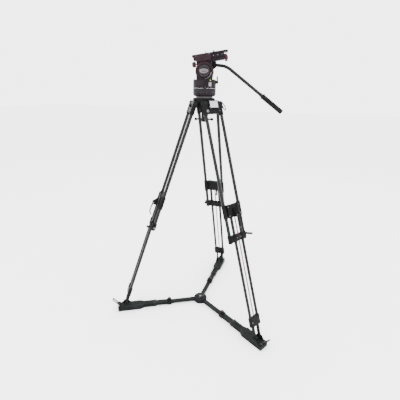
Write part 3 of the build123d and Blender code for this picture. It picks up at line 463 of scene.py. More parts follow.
class Look(Enum):
    """The finishes that a piece may have."""

    CASTING = Crackle("black_crackle", (0.0018, 0.0018, 0.0020), (0.0030, 0.0030, 0.0032),
                      (0.0055, 0.0050, 0.0055), (0.05, 0.05, 0.05), (0.42, 0.6),
                      specular=0.05, grain=1500, depth=0.00014)
    LEVER = Finish("satin_black", (0.0018, 0.0020, 0.0022), (0.0030, 0.0032, 0.0035),
                   (0.0050, 0.0055, 0.0055), (0.05, 0.05, 0.05), (0.34, 0.48),
                   specular=0.1, grain=1800, depth=0.00004)
    SPREADER = Crackle("moulded_black", (0.0020, 0.0025, 0.0025), (0.0035, 0.0043, 0.0043),
                       (0.0060, 0.0070, 0.0070), (0.04, 0.042, 0.042), (0.48, 0.66),
                       specular=0.06, grain=1900, depth=0.0001)
    BOWL = Finish("machined_bowl", (0.020, 0.018, 0.020), (0.034, 0.031, 0.034),
                  (0.055, 0.050, 0.055), (0.16, 0.16, 0.16), (0.28, 0.42), metallic=0.9)
    HEAD = Crackle("maroon_grey_paint", (0.0046, 0.0012, 0.0021), (0.0080, 0.0021, 0.0037),
                   (0.0126, 0.0038, 0.0063), (0.09, 0.055, 0.065), (0.34, 0.48), specular=0.1,
                   grain=1300, depth=0.00008)
    TURRET = Crackle("plum_black_paint", (0.0030, 0.0018, 0.0027), (0.0054, 0.0035, 0.0051),
                     (0.0096, 0.0063, 0.0087), (0.07, 0.055, 0.065), (0.36, 0.5),
                     specular=0.06, grain=1300, depth=0.00008)
    RING = Finish("matte_ring", (0.0035, 0.0028, 0.0035), (0.0063, 0.0049, 0.0063),
                  (0.0112, 0.0091, 0.0112), (0.07, 0.06, 0.065), (0.42, 0.6), specular=0.1)
    RED_KNOB = Finish("moulded_red", (0.0120, 0.0006, 0.0022), (0.0210, 0.0010, 0.0040),
                      (0.0325, 0.0020, 0.0065), (0.2, 0.05, 0.07), (0.3, 0.44), specular=0.18,
                      grain=1500, depth=0.00004)
    PLATE = Finish("black_anodised", (0.0025, 0.0025, 0.0027), (0.0045, 0.0045, 0.0050),
                   (0.0075, 0.0075, 0.0080), (0.12, 0.12, 0.12), (0.32, 0.46), metallic=0.3,
                   specular=0.15)
    BAR = Finish("satin_bar", (0.0016, 0.0018, 0.0020), (0.0027, 0.0032, 0.0034),
                 (0.0045, 0.0054, 0.0054), (0.05, 0.05, 0.05), (0.26, 0.38), specular=0.12)
    GRIP = Pimpled("grip_rubber", (0.0015, 0.0015, 0.0018), (0.0026, 0.0026, 0.0028),
                  (0.0045, 0.0045, 0.005), (0.02, 0.02, 0.02), (0.62, 0.8), specular=0.08,
                  grain=1200, depth=0.00025)
    RUBBER = Finish("sole_rubber", (0.003, 0.003, 0.003), (0.005, 0.005, 0.005),
                    (0.009, 0.009, 0.009), (0.03, 0.03, 0.03), (0.7, 0.9), specular=0.14,
                    grain=700, depth=0.0002)
    STEEL = Finish("turned_steel", (0.07, 0.07, 0.075), (0.12, 0.12, 0.125),
                   (0.19, 0.19, 0.19), (0.4, 0.4, 0.4), (0.22, 0.4), metallic=1.0,
                   edge=0.0003, depth=0.00003)
    LABEL = Printed("silver_label", (0.30, 0.29, 0.31), (0.35, 0.35, 0.35),
                    (0.46, 0.44, 0.48), (0.16, 0.15, 0.17), (0.34, 0.48), metallic=0.3,
                    specular=0.3)
    PANEL = Finish("pale_panel", (0.10, 0.085, 0.095), (0.15, 0.13, 0.145), (0.2, 0.18, 0.2),
                   (0.3, 0.3, 0.3), (0.4, 0.55), specular=0.3, depth=0.00003)
    EMBLEM = Finish("brushed_emblem", (0.055, 0.05, 0.053), (0.09, 0.08, 0.086),
                    (0.14, 0.125, 0.134), (0.2, 0.2, 0.2), (0.3, 0.42), metallic=0.5,
                    specular=0.3, depth=0.00003)
    MARK = Finish("grey_mark", (0.035, 0.03, 0.034), (0.05, 0.045, 0.05), (0.07, 0.065, 0.07),
                  (0.3, 0.3, 0.3), (0.5, 0.6), specular=0.3, depth=0.00002)
    FLUID = Fluid()


class Paints:
    """Makes each material once, when a piece first asks for it."""

    def __init__(self) -> None:
        """Start with no material made."""
        self.made: dict[str, bpy.types.Material] = {}

    def of(self, look: Look) -> bpy.types.Material:
        """The material of a look."""
        return self.keep(look.value)

    def keep(self, finish: Finish | Fluid) -> bpy.types.Material:
        """The material of a finish.

        Args:
            finish: The finish.

        Returns:
            The material.
        """
        if finish.name not in self.made:
            self.made[finish.name] = finish.make()
        return self.made[finish.name]

    def tube(self, leg: str, down: Vector) -> bpy.types.Material:
        """Black anodised tube drawn along one leg.

        Args:
            leg: The leg's letter.
            down: Its direction.

        Returns:
            The material.
        """
        return self.keep(Drawn(f"drawn_tube_{leg}", (0.0015, 0.0017, 0.0019),
                               (0.0027, 0.0031, 0.0033), (0.0045, 0.005, 0.0052),
                               (0.03, 0.03, 0.03), (0.24, 0.34), specular=0.14,
                               grain=2600, depth=0.00003, down=tuple(down)))

    def rod(self, leg: str, down: Vector) -> bpy.types.Material:
        """Dark red anodised rod drawn along one leg.

        Args:
            leg: The leg's letter.
            down: Its direction.

        Returns:
            The material.
        """
        return self.keep(Drawn(f"drawn_rod_{leg}", (0.070, 0.002, 0.012),
                               (0.115, 0.004, 0.020), (0.16, 0.008, 0.03),
                               (0.2, 0.06, 0.08), (0.24, 0.36), metallic=0.35,
                               specular=0.3, grain=2600, depth=0.00002, down=tuple(down)))


PAINTS = Paints()


# ---- shaping -----------------------------------------------------------------
class Form:
    """One piece while it is shaped, in millimetres, in its own local frame."""

    def __init__(self) -> None:
        """Start with an empty mesh."""
        self.mesh = bmesh.new()

    def _soften(self, verts: list[bmesh.types.BMVert], width: float, segments: int) -> None:
        """Bevel the sharp edges between these vertices.

        Args:
            verts: The vertices.
            width: Width of the bevel.
            segments: Steps across it.
        """
        edges = {edge for vert in verts for edge in vert.link_edges
                 if len(edge.link_faces) == 2 and edge.calc_face_angle(0) > SHARP}
        bmesh.ops.bevel(self.mesh, geom=list(edges), offset=width, segments=segments,
                        profile=0.5, affect="EDGES", material=-1, clamp_overlap=True)

    def block(self, size: tuple[float, float, float], centre: tuple[float, float, float] = (0, 0, 0),
              bevel: float = 1.0, segments: int = 3) -> Form:
        """Add a block with softened edges.

        Args:
            size: Its three sizes.
            centre: Where its centre is.
            bevel: Width of the softened edges, or 0 for sharp ones.
            segments: Steps across a softened edge.

        Returns:
            This form.
        """
        made = bmesh.ops.create_cube(self.mesh, size=1)["verts"]
        bmesh.ops.scale(self.mesh, vec=size, verts=made)
        bmesh.ops.translate(self.mesh, vec=centre, verts=made)
        if bevel:
            self._soften(made, bevel, segments)
        return self

    def rod(self, radius: float, length: float, base: tuple[float, float, float] = (0, 0, 0),
            sides: int = 40, bevel: float = 0.6, top: float | None = None) -> Form:
        """Add a round rod along +Z from its base.

        Args:
            radius: Radius at the base.
            length: Its length.
            base: Centre of its base.
            sides: How many sides it has.
            bevel: Width of the softened rims, or 0.
            top: Radius at the far end, if another.

        Returns:
            This form.
        """
        move = Matrix.Translation(Vector(base) + Vector((0, 0, length / 2)))
        made = bmesh.ops.create_cone(self.mesh, cap_ends=True, segments=sides,
                                     radius1=radius, radius2=top or radius, depth=length,
                                     matrix=move)["verts"]
        if bevel:
            self._soften(made, bevel, 3)
        return self

    def lathe(self, profile: list[tuple[float, float]], steps: int = 64) -> Form:
        """Add a shape turned about Z from (radius, height) points.

        Args:
            profile: Points from one end of the section to the other.
            steps: Steps round the axis.

        Returns:
            This form.
        """
        verts = [self.mesh.verts.new((radius, 0, height)) for radius, height in profile]
        edges = [self.mesh.edges.new(two) for two in zip(verts, verts[1:])]
        bmesh.ops.spin(self.mesh, geom=verts + edges, cent=(0, 0, 0), axis=(0, 0, 1),
                       angle=tau, steps=steps, use_merge=True)
        bmesh.ops.remove_doubles(self.mesh, verts=self.mesh.verts, dist=0.0005)
        return self

    def prism(self, outline: list[tuple[float, float]], depth: float, base: float = 0,
              bevel: float = 0.6) -> Form:
        """Add an outline in the local XY plane, extruded along +Z.

        Args:
            outline: Points of the outline in order.
            depth: How far it is extruded.
            base: Height of its lower face.
            bevel: Width of the softened edges, or 0.

        Returns:
            This form.
        """
        verts = [self.mesh.verts.new((x, y, base)) for x, y in outline]
        face = self.mesh.faces.new(verts)
        moved = bmesh.ops.extrude_face_region(self.mesh, geom=[face])["geom"]
        top = [item for item in moved if isinstance(item, bmesh.types.BMVert)]
        bmesh.ops.translate(self.mesh, vec=(0, 0, depth), verts=top)
        if bevel:
            self._soften(verts + top, bevel, 2)
        return self

    def tube(self, points: list[Vector], radius: float, sides: int = 12,
             closed: bool = False) -> Form:
        """Add a round wire that follows these points.

        Args:
            points: Points of the middle line.
            radius: The wire's radius.
            sides: How many sides the wire has.
            closed: Whether it runs back to its start.

        Returns:
            This form.
        """
        rings = []
        count = len(points)
        for step, point in enumerate(points):
            before = points[step - 1] if closed or step else point
            after = points[(step + 1) % count] if closed or step < count - 1 else point
            turn = (after - before).to_track_quat("Z", "Y").to_matrix().to_4x4()
            made = bmesh.ops.create_circle(self.mesh, segments=sides, radius=radius,
                                           matrix=Matrix.Translation(point) @ turn)["verts"]
            rings.append([edge for edge in self.mesh.edges
                          if edge.verts[0] in made and edge.verts[1] in made])
        pairs = zip(rings, rings[1:] + (rings[:1] if closed else []))
        for first, second in pairs:
            bmesh.ops.bridge_loops(self.mesh, edges=first + second)
        if not closed:
            for ring in (rings[0], rings[-1]):
                bmesh.ops.contextual_create(self.mesh, geom=ring)
        return self

    def ring(self, radius: float, wire: float, height: float = 0, steps: int = 48) -> Form:
        """Add a round ring about Z.

        Args:
            radius: Radius of the middle line.
            wire: The wire's radius.
            height: Height above the local XY plane.
            steps: Steps round the axis.

        Returns:
            This form.
        """
        points = [Vector((radius * cos(turn), radius * sin(turn), height))
                  for turn in (tau * step / steps for step in range(steps))]
        return self.tube(points, wire, 10, closed=True)

    def at(self, x: float = 0, y: float = 0, z: float = 0) -> Form:
        """Move everything so far.

        Args:
            x: Move along x.
            y: Move along y.
            z: Move along z.

        Returns:
            This form.
        """
        bmesh.ops.translate(self.mesh, vec=(x, y, z), verts=self.mesh.verts)
        return self

    def turned(self, angle: float, axis: str) -> Form:
        """Turn everything so far about a local axis.

        Args:
            angle: The angle in radians.
            axis: The letter of the axis.

        Returns:
            This form.
        """
        bmesh.ops.rotate(self.mesh, cent=(0, 0, 0), verts=self.mesh.verts,
                         matrix=Matrix.Rotation(angle, 3, axis))
        return self

    def join(self, other: Form) -> Form:
        """Take in another form.

        Args:
            other: The form to copy in; it stays as it is.

        Returns:
            This form.
        """
        spare = bpy.data.meshes.new("spare")
        other.mesh.to_mesh(spare)
        self.mesh.from_mesh(spare)
        bpy.data.meshes.remove(spare)
        return self

    def place(self, name: str, look: Look | bpy.types.Material, body: str, axes: Axes,
              slot: str, instead_of: tuple[str, ...] = ()) -> bpy.types.Object:
        """Finish the piece: put it in the row frame, dress it and let it ride.

        Args:
            name: The piece's name.
            look: Its finish, or a ready material.
            body: The CAD body that it rides on.
            axes: The local frame it was shaped in.
            slot: Not used.
            instead_of: CAD nodes that it replaces.

        Returns:
            The finished object.
        """
        bmesh.ops.recalc_face_normals(self.mesh, faces=self.mesh.faces)
        scale = Matrix.Diagonal((MM, MM, MM, 1))
        bmesh.ops.transform(self.mesh, matrix=axes.matrix @ scale, verts=self.mesh.verts)
        for face in self.mesh.faces:
            face.smooth = True
        for edge in self.mesh.edges:
            edge.smooth = edge.calc_face_angle(0) < SHARP
        data = bpy.data.meshes.new(name)
        self.mesh.to_mesh(data)
        self.mesh.free()
        piece = bpy.data.objects.new(name, data)
        bpy.context.scene.collection.objects.link(piece)
        data.materials.append(PAINTS.of(look) if isinstance(look, Look) else look)
        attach(piece, body)
        if instead_of:
            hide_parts(*instead_of)
        log.info("%s rides on %s", name, body)
        return piece


def star(radius: float, depth: float, lobes: int, steps: int = 10) -> list[tuple[float, float]]:
    """Outline of a knob with rounded lobes and hollows between them.

    Args:
        radius: Radius over the lobes.
        depth: Depth of the hollows.
        lobes: How many lobes it has.
        steps: Points for each lobe.

    Returns:
        The outline.
    """
    count = lobes * steps
    return [((radius - depth * (0.5 - 0.5 * cos(lobes * turn))) * cos(turn),
             (radius - depth * (0.5 - 0.5 * cos(lobes * turn))) * sin(turn))
            for turn in (tau * step / count for step in range(count))]


def cap_screw(radius: float = 3.2) -> Form:
    """Socket-head screw that stands on the local XY plane.

    Args:
        radius: The head's radius.

    Returns:
        The form.
    """
    screw = Form().lathe([(0, radius * 0.55), (radius * 0.5, radius * 0.55),
                          (radius * 0.56, radius * 0.8), (radius * 0.9, radius * 0.8),
                          (radius, radius * 0.68), (radius, -0.5)], 24)
    return screw


# ---- the CAD nodes' own finishes ---------------------------------------------
class Dresser:
    """Gives every CAD node the finish of its material slot."""

    looks = {"casting": Look.CASTING, "lever": Look.LEVER, "spreader": Look.SPREADER,
             "bowl": Look.BOWL, "head": Look.TURRET, "ring": Look.RING,
             "red_knob": Look.RED_KNOB, "plate": Look.PLATE, "bar": Look.BAR,
             "grip": Look.GRIP}

    def dress(self) -> None:
        """Assign the materials."""
        for part in frame["record"]["subparts"]:
            node, slot = part["node"], part["material_slot"]
            leg = node[-1]
            if slot == "tube":
                material = PAINTS.tube(leg, joint_axis(f"leg_extend_{leg}"))
            elif slot == "red_rod":
                material = PAINTS.rod(leg, joint_axis(f"leg_extend_{leg}"))
            else:
                material = PAINTS.of(self.looks[slot])
            for holder in frame["nodes"][node].material_slots:
                holder.material = material
            log.info("%s wears %s", node, material.name)


def extent(node: str, axes: Axes) -> tuple[Vector, Vector]:
    """A CAD node's lowest and highest corner in a local frame, in millimetres.

    Args:
        node: The CAD node.
        axes: The local frame.

    Returns:
        Its lowest and its highest corner.
    """
    back = axes.matrix.inverted()
    spots = [back @ vert.co / MM for vert in frame["nodes"][node].data.vertices]
    low = Vector([min(spot[axis] for spot in spots) for axis in range(3)])
    high = Vector([max(spot[axis] for spot in spots) for axis in range(3)])
    return low, high


# ---- legs ---------------------------------------------------------------------
@dataclass
class LegTrim:
    """Screws, caps and plates of one leg's castings.

    The leg's frame has its origin on the hinge pin, x sideways, y outward and z down
    the leg.
    """

    leg: str
    pin_cap: float = 7.0
    screw: float = 3.4
    rib: float = 2.6

    def __post_init__(self) -> None:
        """Lay the leg's frame on its hinge."""
        down = joint_axis(f"leg_extend_{self.leg}")
        across = UP.cross(Vector((down.x, down.y, 0))).normalized()
        self.axes = Axes(joint_point(f"leg_spread_{self.leg}"), across, down)

    def name(self, piece: str) -> str:
        """A piece's name with the leg's letter."""
        return f"{piece}_{self.leg}"

    def face(self, x: float, y: float, z: float) -> Axes:
        """A frame on an outward face: x sideways, y up the leg, z outward.

        Args:
            x: Sideways place.
            y: Outward place.
            z: Place down the leg.

        Returns:
            The frame.
        """
        spot = self.axes.at(x, y, z)
        return spot.facing(self.axes.y, self.axes.x)

    def flank(self, side: int, x: float, y: float, z: float) -> Axes:
        """A frame on a side face: z points sideways.

        Args:
            side: -1 or 1 for the side.
            x: Sideways place.
            y: Outward place.
            z: Place down the leg.

        Returns:
            The frame.
        """
        spot = self.axes.at(x, y, z)
        return spot.facing(self.axes.x * side, self.axes.z)

    def build(self) -> None:
        """Make every piece of the leg's trim."""
        self.shoulder()
        self.guide()
        self.clamp()
        self.levers()
        self.foot()

    def shoulder(self) -> None:
        """Pivot caps and web screws of the shoulder casting."""
        body = f"leg_{self.leg}"
        low, high = extent(self.name("leg_shoulder"), self.axes)
        for side, end, tag in ((-1, low.x, "left"), (1, high.x, "right")):
            cap = Form().lathe([(0, 2.6), (3.1, 2.6), (3.6, 4.2), (self.pin_cap - 1, 4.2),
                                (self.pin_cap, 3.0), (self.pin_cap, -1.5)], 36)
            reach = end - side * 1.2
            cap.place(self.name(f"hinge_cap_{tag}"), Look.LEVER, body,
                      self.flank(side, reach, 0, 0), "lever")
        middle = (high.z + 26) / 2
        for x, tag in ((-44, "left"), (44, "right")):
            cap_screw(self.screw).place(self.name(f"web_screw_{tag}"), Look.STEEL, body,
                                        self.face(x, 10, middle), "lever")
        rail = Form().block((84, 4, 3), bevel=1.2)
        rail.place(self.name("web_rail"), Look.CASTING, body,
                   self.face(0, 10.4, high.z - 9), "casting")
        collar = Form().lathe([(10.2, 0), (12.6, 0), (13.4, 1), (13.4, 5), (12.6, 6),
                               (10.2, 6)], 48)
        for x, tag in ((low.x + 13.5, "left"), (high.x - 13.5, "right")):
            copy = Form().join(collar)
            copy.place(self.name(f"tube_collar_{tag}"), Look.LEVER, body,
                       self.axes.at(x, 0, high.z - 1), "lever")
        collar.mesh.free()

    def guide(self) -> None:
        """Ribs, screws and wiper rings of the guide bracket."""
        body = f"lower_leg_{self.leg}"
        low, high = extent(self.name("guide_bracket"), self.axes)
        half = (high.x - low.x) / 2
        top, bottom = low.z, low.z + 77
        for x in (-14.0, 14.0):
            rib = Form().block((self.rib, 60, 3.4), bevel=1)
            rib.place(self.name(f"guide_rib_{'left' if x < 0 else 'right'}"), Look.CASTING,
                      body, self.face(x, 21, (top + bottom) / 2), "casting")
        for index, (x, z) in enumerate(((-45.5, top + 12), (45.5, top + 12),
                                        (-45.5, bottom - 12), (45.5, bottom - 12))):
            cap_screw(self.screw).place(self.name(f"guide_screw_{index}"), Look.STEEL, body,
                                        self.face(x, 19.5, z), "lever")
        for x, tag in ((-half + 13.6, "left"), (half - 13.6, "right")):
            for spot, end in ((top - 3, "top"), (bottom, "bottom")):
                wiper = Form().lathe([(10.3, 0), (13.0, 0), (13.0, 3), (10.3, 3)], 40)
                wiper.place(self.name(f"wiper_{tag}_{end}"), Look.RUBBER, body,
                            self.axes.at(x, 0, spot), "lever")
        for side, tag in ((-1, "left"), (1, "right")):
            cap = Form().lathe([(0, 1.6), (4.2, 1.6), (5.2, 0.8), (5.2, -0.5)], 24)
            pivot = joint_point(f"release_lever_swing_{self.leg}")
            spot = Axes(pivot, self.axes.x, self.axes.z).at(side * 10.4)
            cap.place(self.name(f"release_cap_{tag}"), Look.STEEL, body,
                      spot.facing(self.axes.x * side, self.axes.z), "lever")

    def clamp(self) -> None:
        """Screws and pad of the clamp bracket, and plugs for its tubes."""
        body = f"leg_{self.leg}"
        low, high = extent(self.name("clamp_bracket"), self.axes)
        middle = (low.z + high.z) / 2
        for x, tag in ((-15.0, "left"), (15.0, "right")):
            cap_screw(self.screw).place(self.name(f"clamp_screw_{tag}"), Look.STEEL, body,
                                        self.face(x, 16, middle), "lever")
        band = Form().block((24, 30, 2.4), bevel=1.1)
        band.place(self.name("clamp_pad"), Look.LEVER, body,
                   self.face(0, 16.6, middle), "lever")
        for x, tag in ((-60.5, "left"), (60.5, "right")):
            foot = Form().lathe([(0, 6), (8.5, 6), (11, 4), (12.6, 0), (12.6, -3), (0, -3)], 40)
            foot.place(self.name(f"tube_plug_{tag}"), Look.RUBBER, body,
                       self.axes.at(x, 0, high.z), "lever")

    def levers(self) -> None:
        """Pivot cap and grip ridges of the clamp lever."""
        pivot = joint_point(f"clamp_lever_swing_{self.leg}")
        node = self.name("clamp_lever")
        low, high = extent(node, self.axes)
        spot = Axes(pivot, self.axes.x, self.axes.z)
        cap = Form().lathe([(0, 2.4), (2.2, 2.4), (2.7, 3.4), (5.6, 3.4), (6.4, 2.6),
                            (6.4, -0.5)], 28)
        reach = high.x - 0.2
        cap.place(self.name("clamp_cap"), Look.STEEL, f"clamp_lever_{self.leg}",
                  spot.at(reach).facing(self.axes.x, self.axes.z), "lever")
        for index in range(5):
            ridge = Form().block((1.8, 8.5, 10), bevel=0.7)
            ridge.place(self.name(f"clamp_ridge_{index}"), Look.LEVER,
                        f"clamp_lever_{self.leg}",
                        spot.at((low.x + high.x) / 2, 24 + 5 * index)
                        .facing(self.axes.x, self.axes.y), "lever")

    def foot(self) -> None:
        """Screws and seal bands of the foot bracket."""
        low, _high = extent(self.name("foot_bracket"), self.axes)
        body = f"lower_leg_{self.leg}"
        for x, tag in ((-30.4, "left"), (30.4, "right")):
            cap_screw(self.screw).place(self.name(f"foot_screw_{tag}"), Look.STEEL, body,
                                        self.face(x, 24.3, low.z + 26), "lever")
            band = Form().lathe([(9.2, 0), (11.6, 0), (12.4, 1), (12.4, 4), (9.2, 4)], 40)
            band.place(self.name(f"foot_seal_{tag}"), Look.RUBBER, body,
                       self.axes.at(x, 12, low.z - 3.6), "lever")


@dataclass
class NamePlate:
    """Framed label and strap ring on the front right leg's shoulder."""

    leg: str = "b"
    width: float = 58.0
    height: float = 36.0
    frame: float = 5.0
    wire: float = 3.0

    def build(self) -> None:
        """Make the backing, the label and the ring."""
        trim = LegTrim(self.leg)
        body = f"leg_{self.leg}"
        back = Form().block((self.width + 2 * self.frame, self.height + 2 * self.frame, 3),
                            bevel=1.4)
        back.place("name_plate_frame", Look.CASTING, body, trim.face(0, 16.0, 8), "casting")
        label = Form().block((self.width, self.height, 1.2), bevel=0.5)
        label.place("name_plate_label", Look.LABEL, body, trim.face(0, 17.8, 8), "plate")
        for index, (x, z) in enumerate(((-31.5, -12.5), (31.5, -12.5), (-31.5, 28.5),
                                        (31.5, 28.5))):
            cap_screw(2.0).place(f"name_plate_rivet_{index}", Look.STEEL, body,
                                 trim.face(x, 17.2, z), "lever")
        bolt = Form().lathe([(0, 0.6), (3.6, 0.6), (4.4, 2.6), (7.4, 2.6), (8.2, 1.6),
                             (8.2, -1)], 40)
        bolt.place("shoulder_bolt", Look.STEEL, body, trim.face(-52, 12, 44), "lever")
        corners = [Vector((0, 0, 0)), Vector((8, -1, 0)), Vector((27, -34, 0)),
                   Vector((24, -46, 0)), Vector((12, -44, 0)), Vector((3, -22, 0))]
        ring = Form().tube(rounded_loop(corners, 5), self.wire, 10, closed=True)
        spot = trim.axes.at(72, 8, -4)
        ring.place("strap_ring", Look.LEVER, body,
                   spot.facing(trim.axes.y, trim.axes.x), "lever")


def rounded_loop(corners: list[Vector], steps: int) -> list[Vector]:
    """A closed loop that cuts each corner with a short curve.

    Args:
        corners: The corners in order.
        steps: How many steps a curve takes.

    Returns:
        The points of the loop.
    """
    points = []
    count = len(corners)
    for index, corner in enumerate(corners):
        before = corner.lerp(corners[index - 1], 0.4)
        after = corner.lerp(corners[(index + 1) % count], 0.4)
        for step in range(steps + 1):
            share = step / steps
            points.append(before.lerp(corner, share).lerp(corner.lerp(after, share), share))
    return points


# ---- floor spreader -------------------------------------------------------------
@dataclass
class ArmTrim:
    """Knob, soles, ribs and caps of one spreader arm.

    The arm's frame has its origin on the pan axis at floor level, x outward, z up.
    """

    leg: str
    knob_radius: float = 13.5

    def __post_init__(self) -> None:
        """Lay the arm's frame on the floor."""
        down = joint_axis(f"leg_extend_{self.leg}")
        out = Vector((down.x, down.y, 0)).normalized()
        self.axes = Axes(Vector((0, 0, 0)), out, UP)

    def name(self, piece: str) -> str:
        """A piece's name with the leg's letter."""
        return f"{piece}_{self.leg}"

    def build(self) -> None:
        """Make every piece of the arm's trim."""
        self.knob()
        self.channel()
        self.socket()

    def knob(self) -> None:
        """Lobed lock knob in place of the plain one."""
        low, high = extent(self.name("spreader_knob"), self.axes)
        middle = (low.x + high.x) / 2
        body = f"arm_knob_{self.leg}"
        knob = Form().prism(star(self.knob_radius, 2.6, 6), high.z - low.z - 1.5, 1.0,
                            bevel=1.2)
        knob.place(self.name("lock_knob"), Look.LEVER, body,
                   self.axes.at(middle, 0, low.z), "lever", (self.name("spreader_knob"),))
        cap = Form().lathe([(0, 1.2), (5, 1.2), (6.4, 0.4), (6.4, -1)], 32)
        cap.place(self.name("lock_knob_cap"), Look.RED_KNOB, body,
                  self.axes.at(middle, 0, high.z - 0.5), "red_knob")

    def channel(self) -> None:
        """Raised ribs, a mouth collar and side lines on the outer channel."""
        body = f"channel_{self.leg}"
        low, _high = extent(self.name("spreader_channel"), self.axes)
        for index in range(6):
            rib = Form().block((3.2, 26, 1.6), bevel=0.7)
            rib.place(self.name(f"channel_rib_{index}"), Look.SPREADER, body,
                      self.axes.at(low.x + 30 + 9 * index, 0, 29.9), "spreader")
        collar = Form()
        for side in (-1, 1):
            collar.block((14, 2.4, 28), (0, side * 20.6, 0), bevel=0.9)
        collar.block((14, 43, 2.2), (0, 0, 14.2), bevel=0.9)
        collar.place(self.name("channel_mouth"), Look.LEVER, body,
                     self.axes.at(low.x + 8, 0, 15.8), "spreader")
        for side, tag in ((-1, "left"), (1, "right")):
            line = Form().block((70, 1.6, 9), bevel=0.7)
            line.place(self.name(f"channel_rail_{tag}"), Look.SPREADER, body,
                       self.axes.at(low.x + 56, side * 20.2, 16), "spreader")

    def socket(self) -> None:
        """Rubber sole, treads, pin caps and end pad of the foot socket."""
        body = f"channel_{self.leg}"
        _low, high = extent(self.name("spreader_channel"), self.axes)
        tread = Form()
        for index in range(9):
            tread.block((7, 66, 5), (-14.5 * index, 0, 0), bevel=1)
        tread.place(self.name("sole_tread"), Look.RUBBER, body,
                    self.axes.at(high.x - 14, 0, 3.0), "grip")
        pad = Form().block((6, 50, 20), bevel=2.5)
        pad.place(self.name("toe_pad"), Look.RUBBER, body,
                  self.axes.at(high.x - 1.5, 0, 13), "grip")
        pin = joint_point(f"channel_level_{self.leg}")
        for side, tag in ((-1, "left"), (1, "right")):
            cap = Form().lathe([(0, 1.4), (2.4, 1.4), (2.9, 2.6), (6.4, 2.6), (7.2, 1.8),
                                (7.2, -0.5)], 32)
            spot = Axes(pin, self.axes.x, UP).at(0, side * 31.8, 0)
            cap.place(self.name(f"foot_pin_cap_{tag}"), Look.LEVER, body,
                      spot.facing(self.axes.y * side, self.axes.x), "lever")
        latch = joint_point(f"foot_latch_swing_{self.leg}")
        for side, tag in ((-1, "left"), (1, "right")):
            cap = Form().lathe([(0, 1.2), (3.6, 1.2), (4.4, 0.6), (4.4, -0.5)], 24)
            spot = Axes(latch, self.axes.x, UP).at(0, side * 19.2, 0)
            cap.place(self.name(f"latch_pin_cap_{tag}"), Look.STEEL, body,
                      spot.facing(self.axes.y * side, self.axes.x), "lever")


@dataclass
class HubTrim:
    """Cap, screws and sole of the spreader's hub."""

    cap_radius: float = 30.0
    body: str = "inner_arm_a"

    def build(self) -> None:
        """Make every piece of the hub's trim."""
        _low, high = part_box("spreader_hub")
        top = high.z / MM
        centre = Axes(Vector((0, 0, 0)), Vector((1, 0, 0)), UP)
        radius = self.cap_radius
        cap = Form().lathe([(0, 3.4), (9, 3.4), (10.5, 2.6), (12, 2.6), (13.5, 3.4),
                            (radius - 4, 3.4), (radius - 1, 2.2), (radius, 0.6),
                            (radius, -1)], 72)
        cap.place("hub_cap", Look.SPREADER, self.body, centre.at(0, 0, top), "spreader")
        badge = Form().lathe([(0, 0.8), (7.6, 0.8), (8.4, 0.2), (8.4, -0.6)], 40)
        badge.place("hub_badge", Look.STEEL, self.body, centre.at(0, 0, top + 3.4), "plate")
        for leg in LEGS:
            out = ArmTrim(leg).axes
            cap_screw(3.2).place(f"hub_screw_{leg}", Look.STEEL, self.body,
                                 out.at(-21, 0, top + 3.2), "lever")
        sole = Form().lathe([(20, 0.8), (42, 0.8), (45.6, 3), (46.4, 6), (45, 7)], 72)
        sole.mesh.faces.ensure_lookup_table()
        bmesh.ops.solidify(sole.mesh, geom=list(sole.mesh.faces), thickness=-0.7)
        sole.place("hub_sole", Look.RUBBER, self.body, centre, "grip")


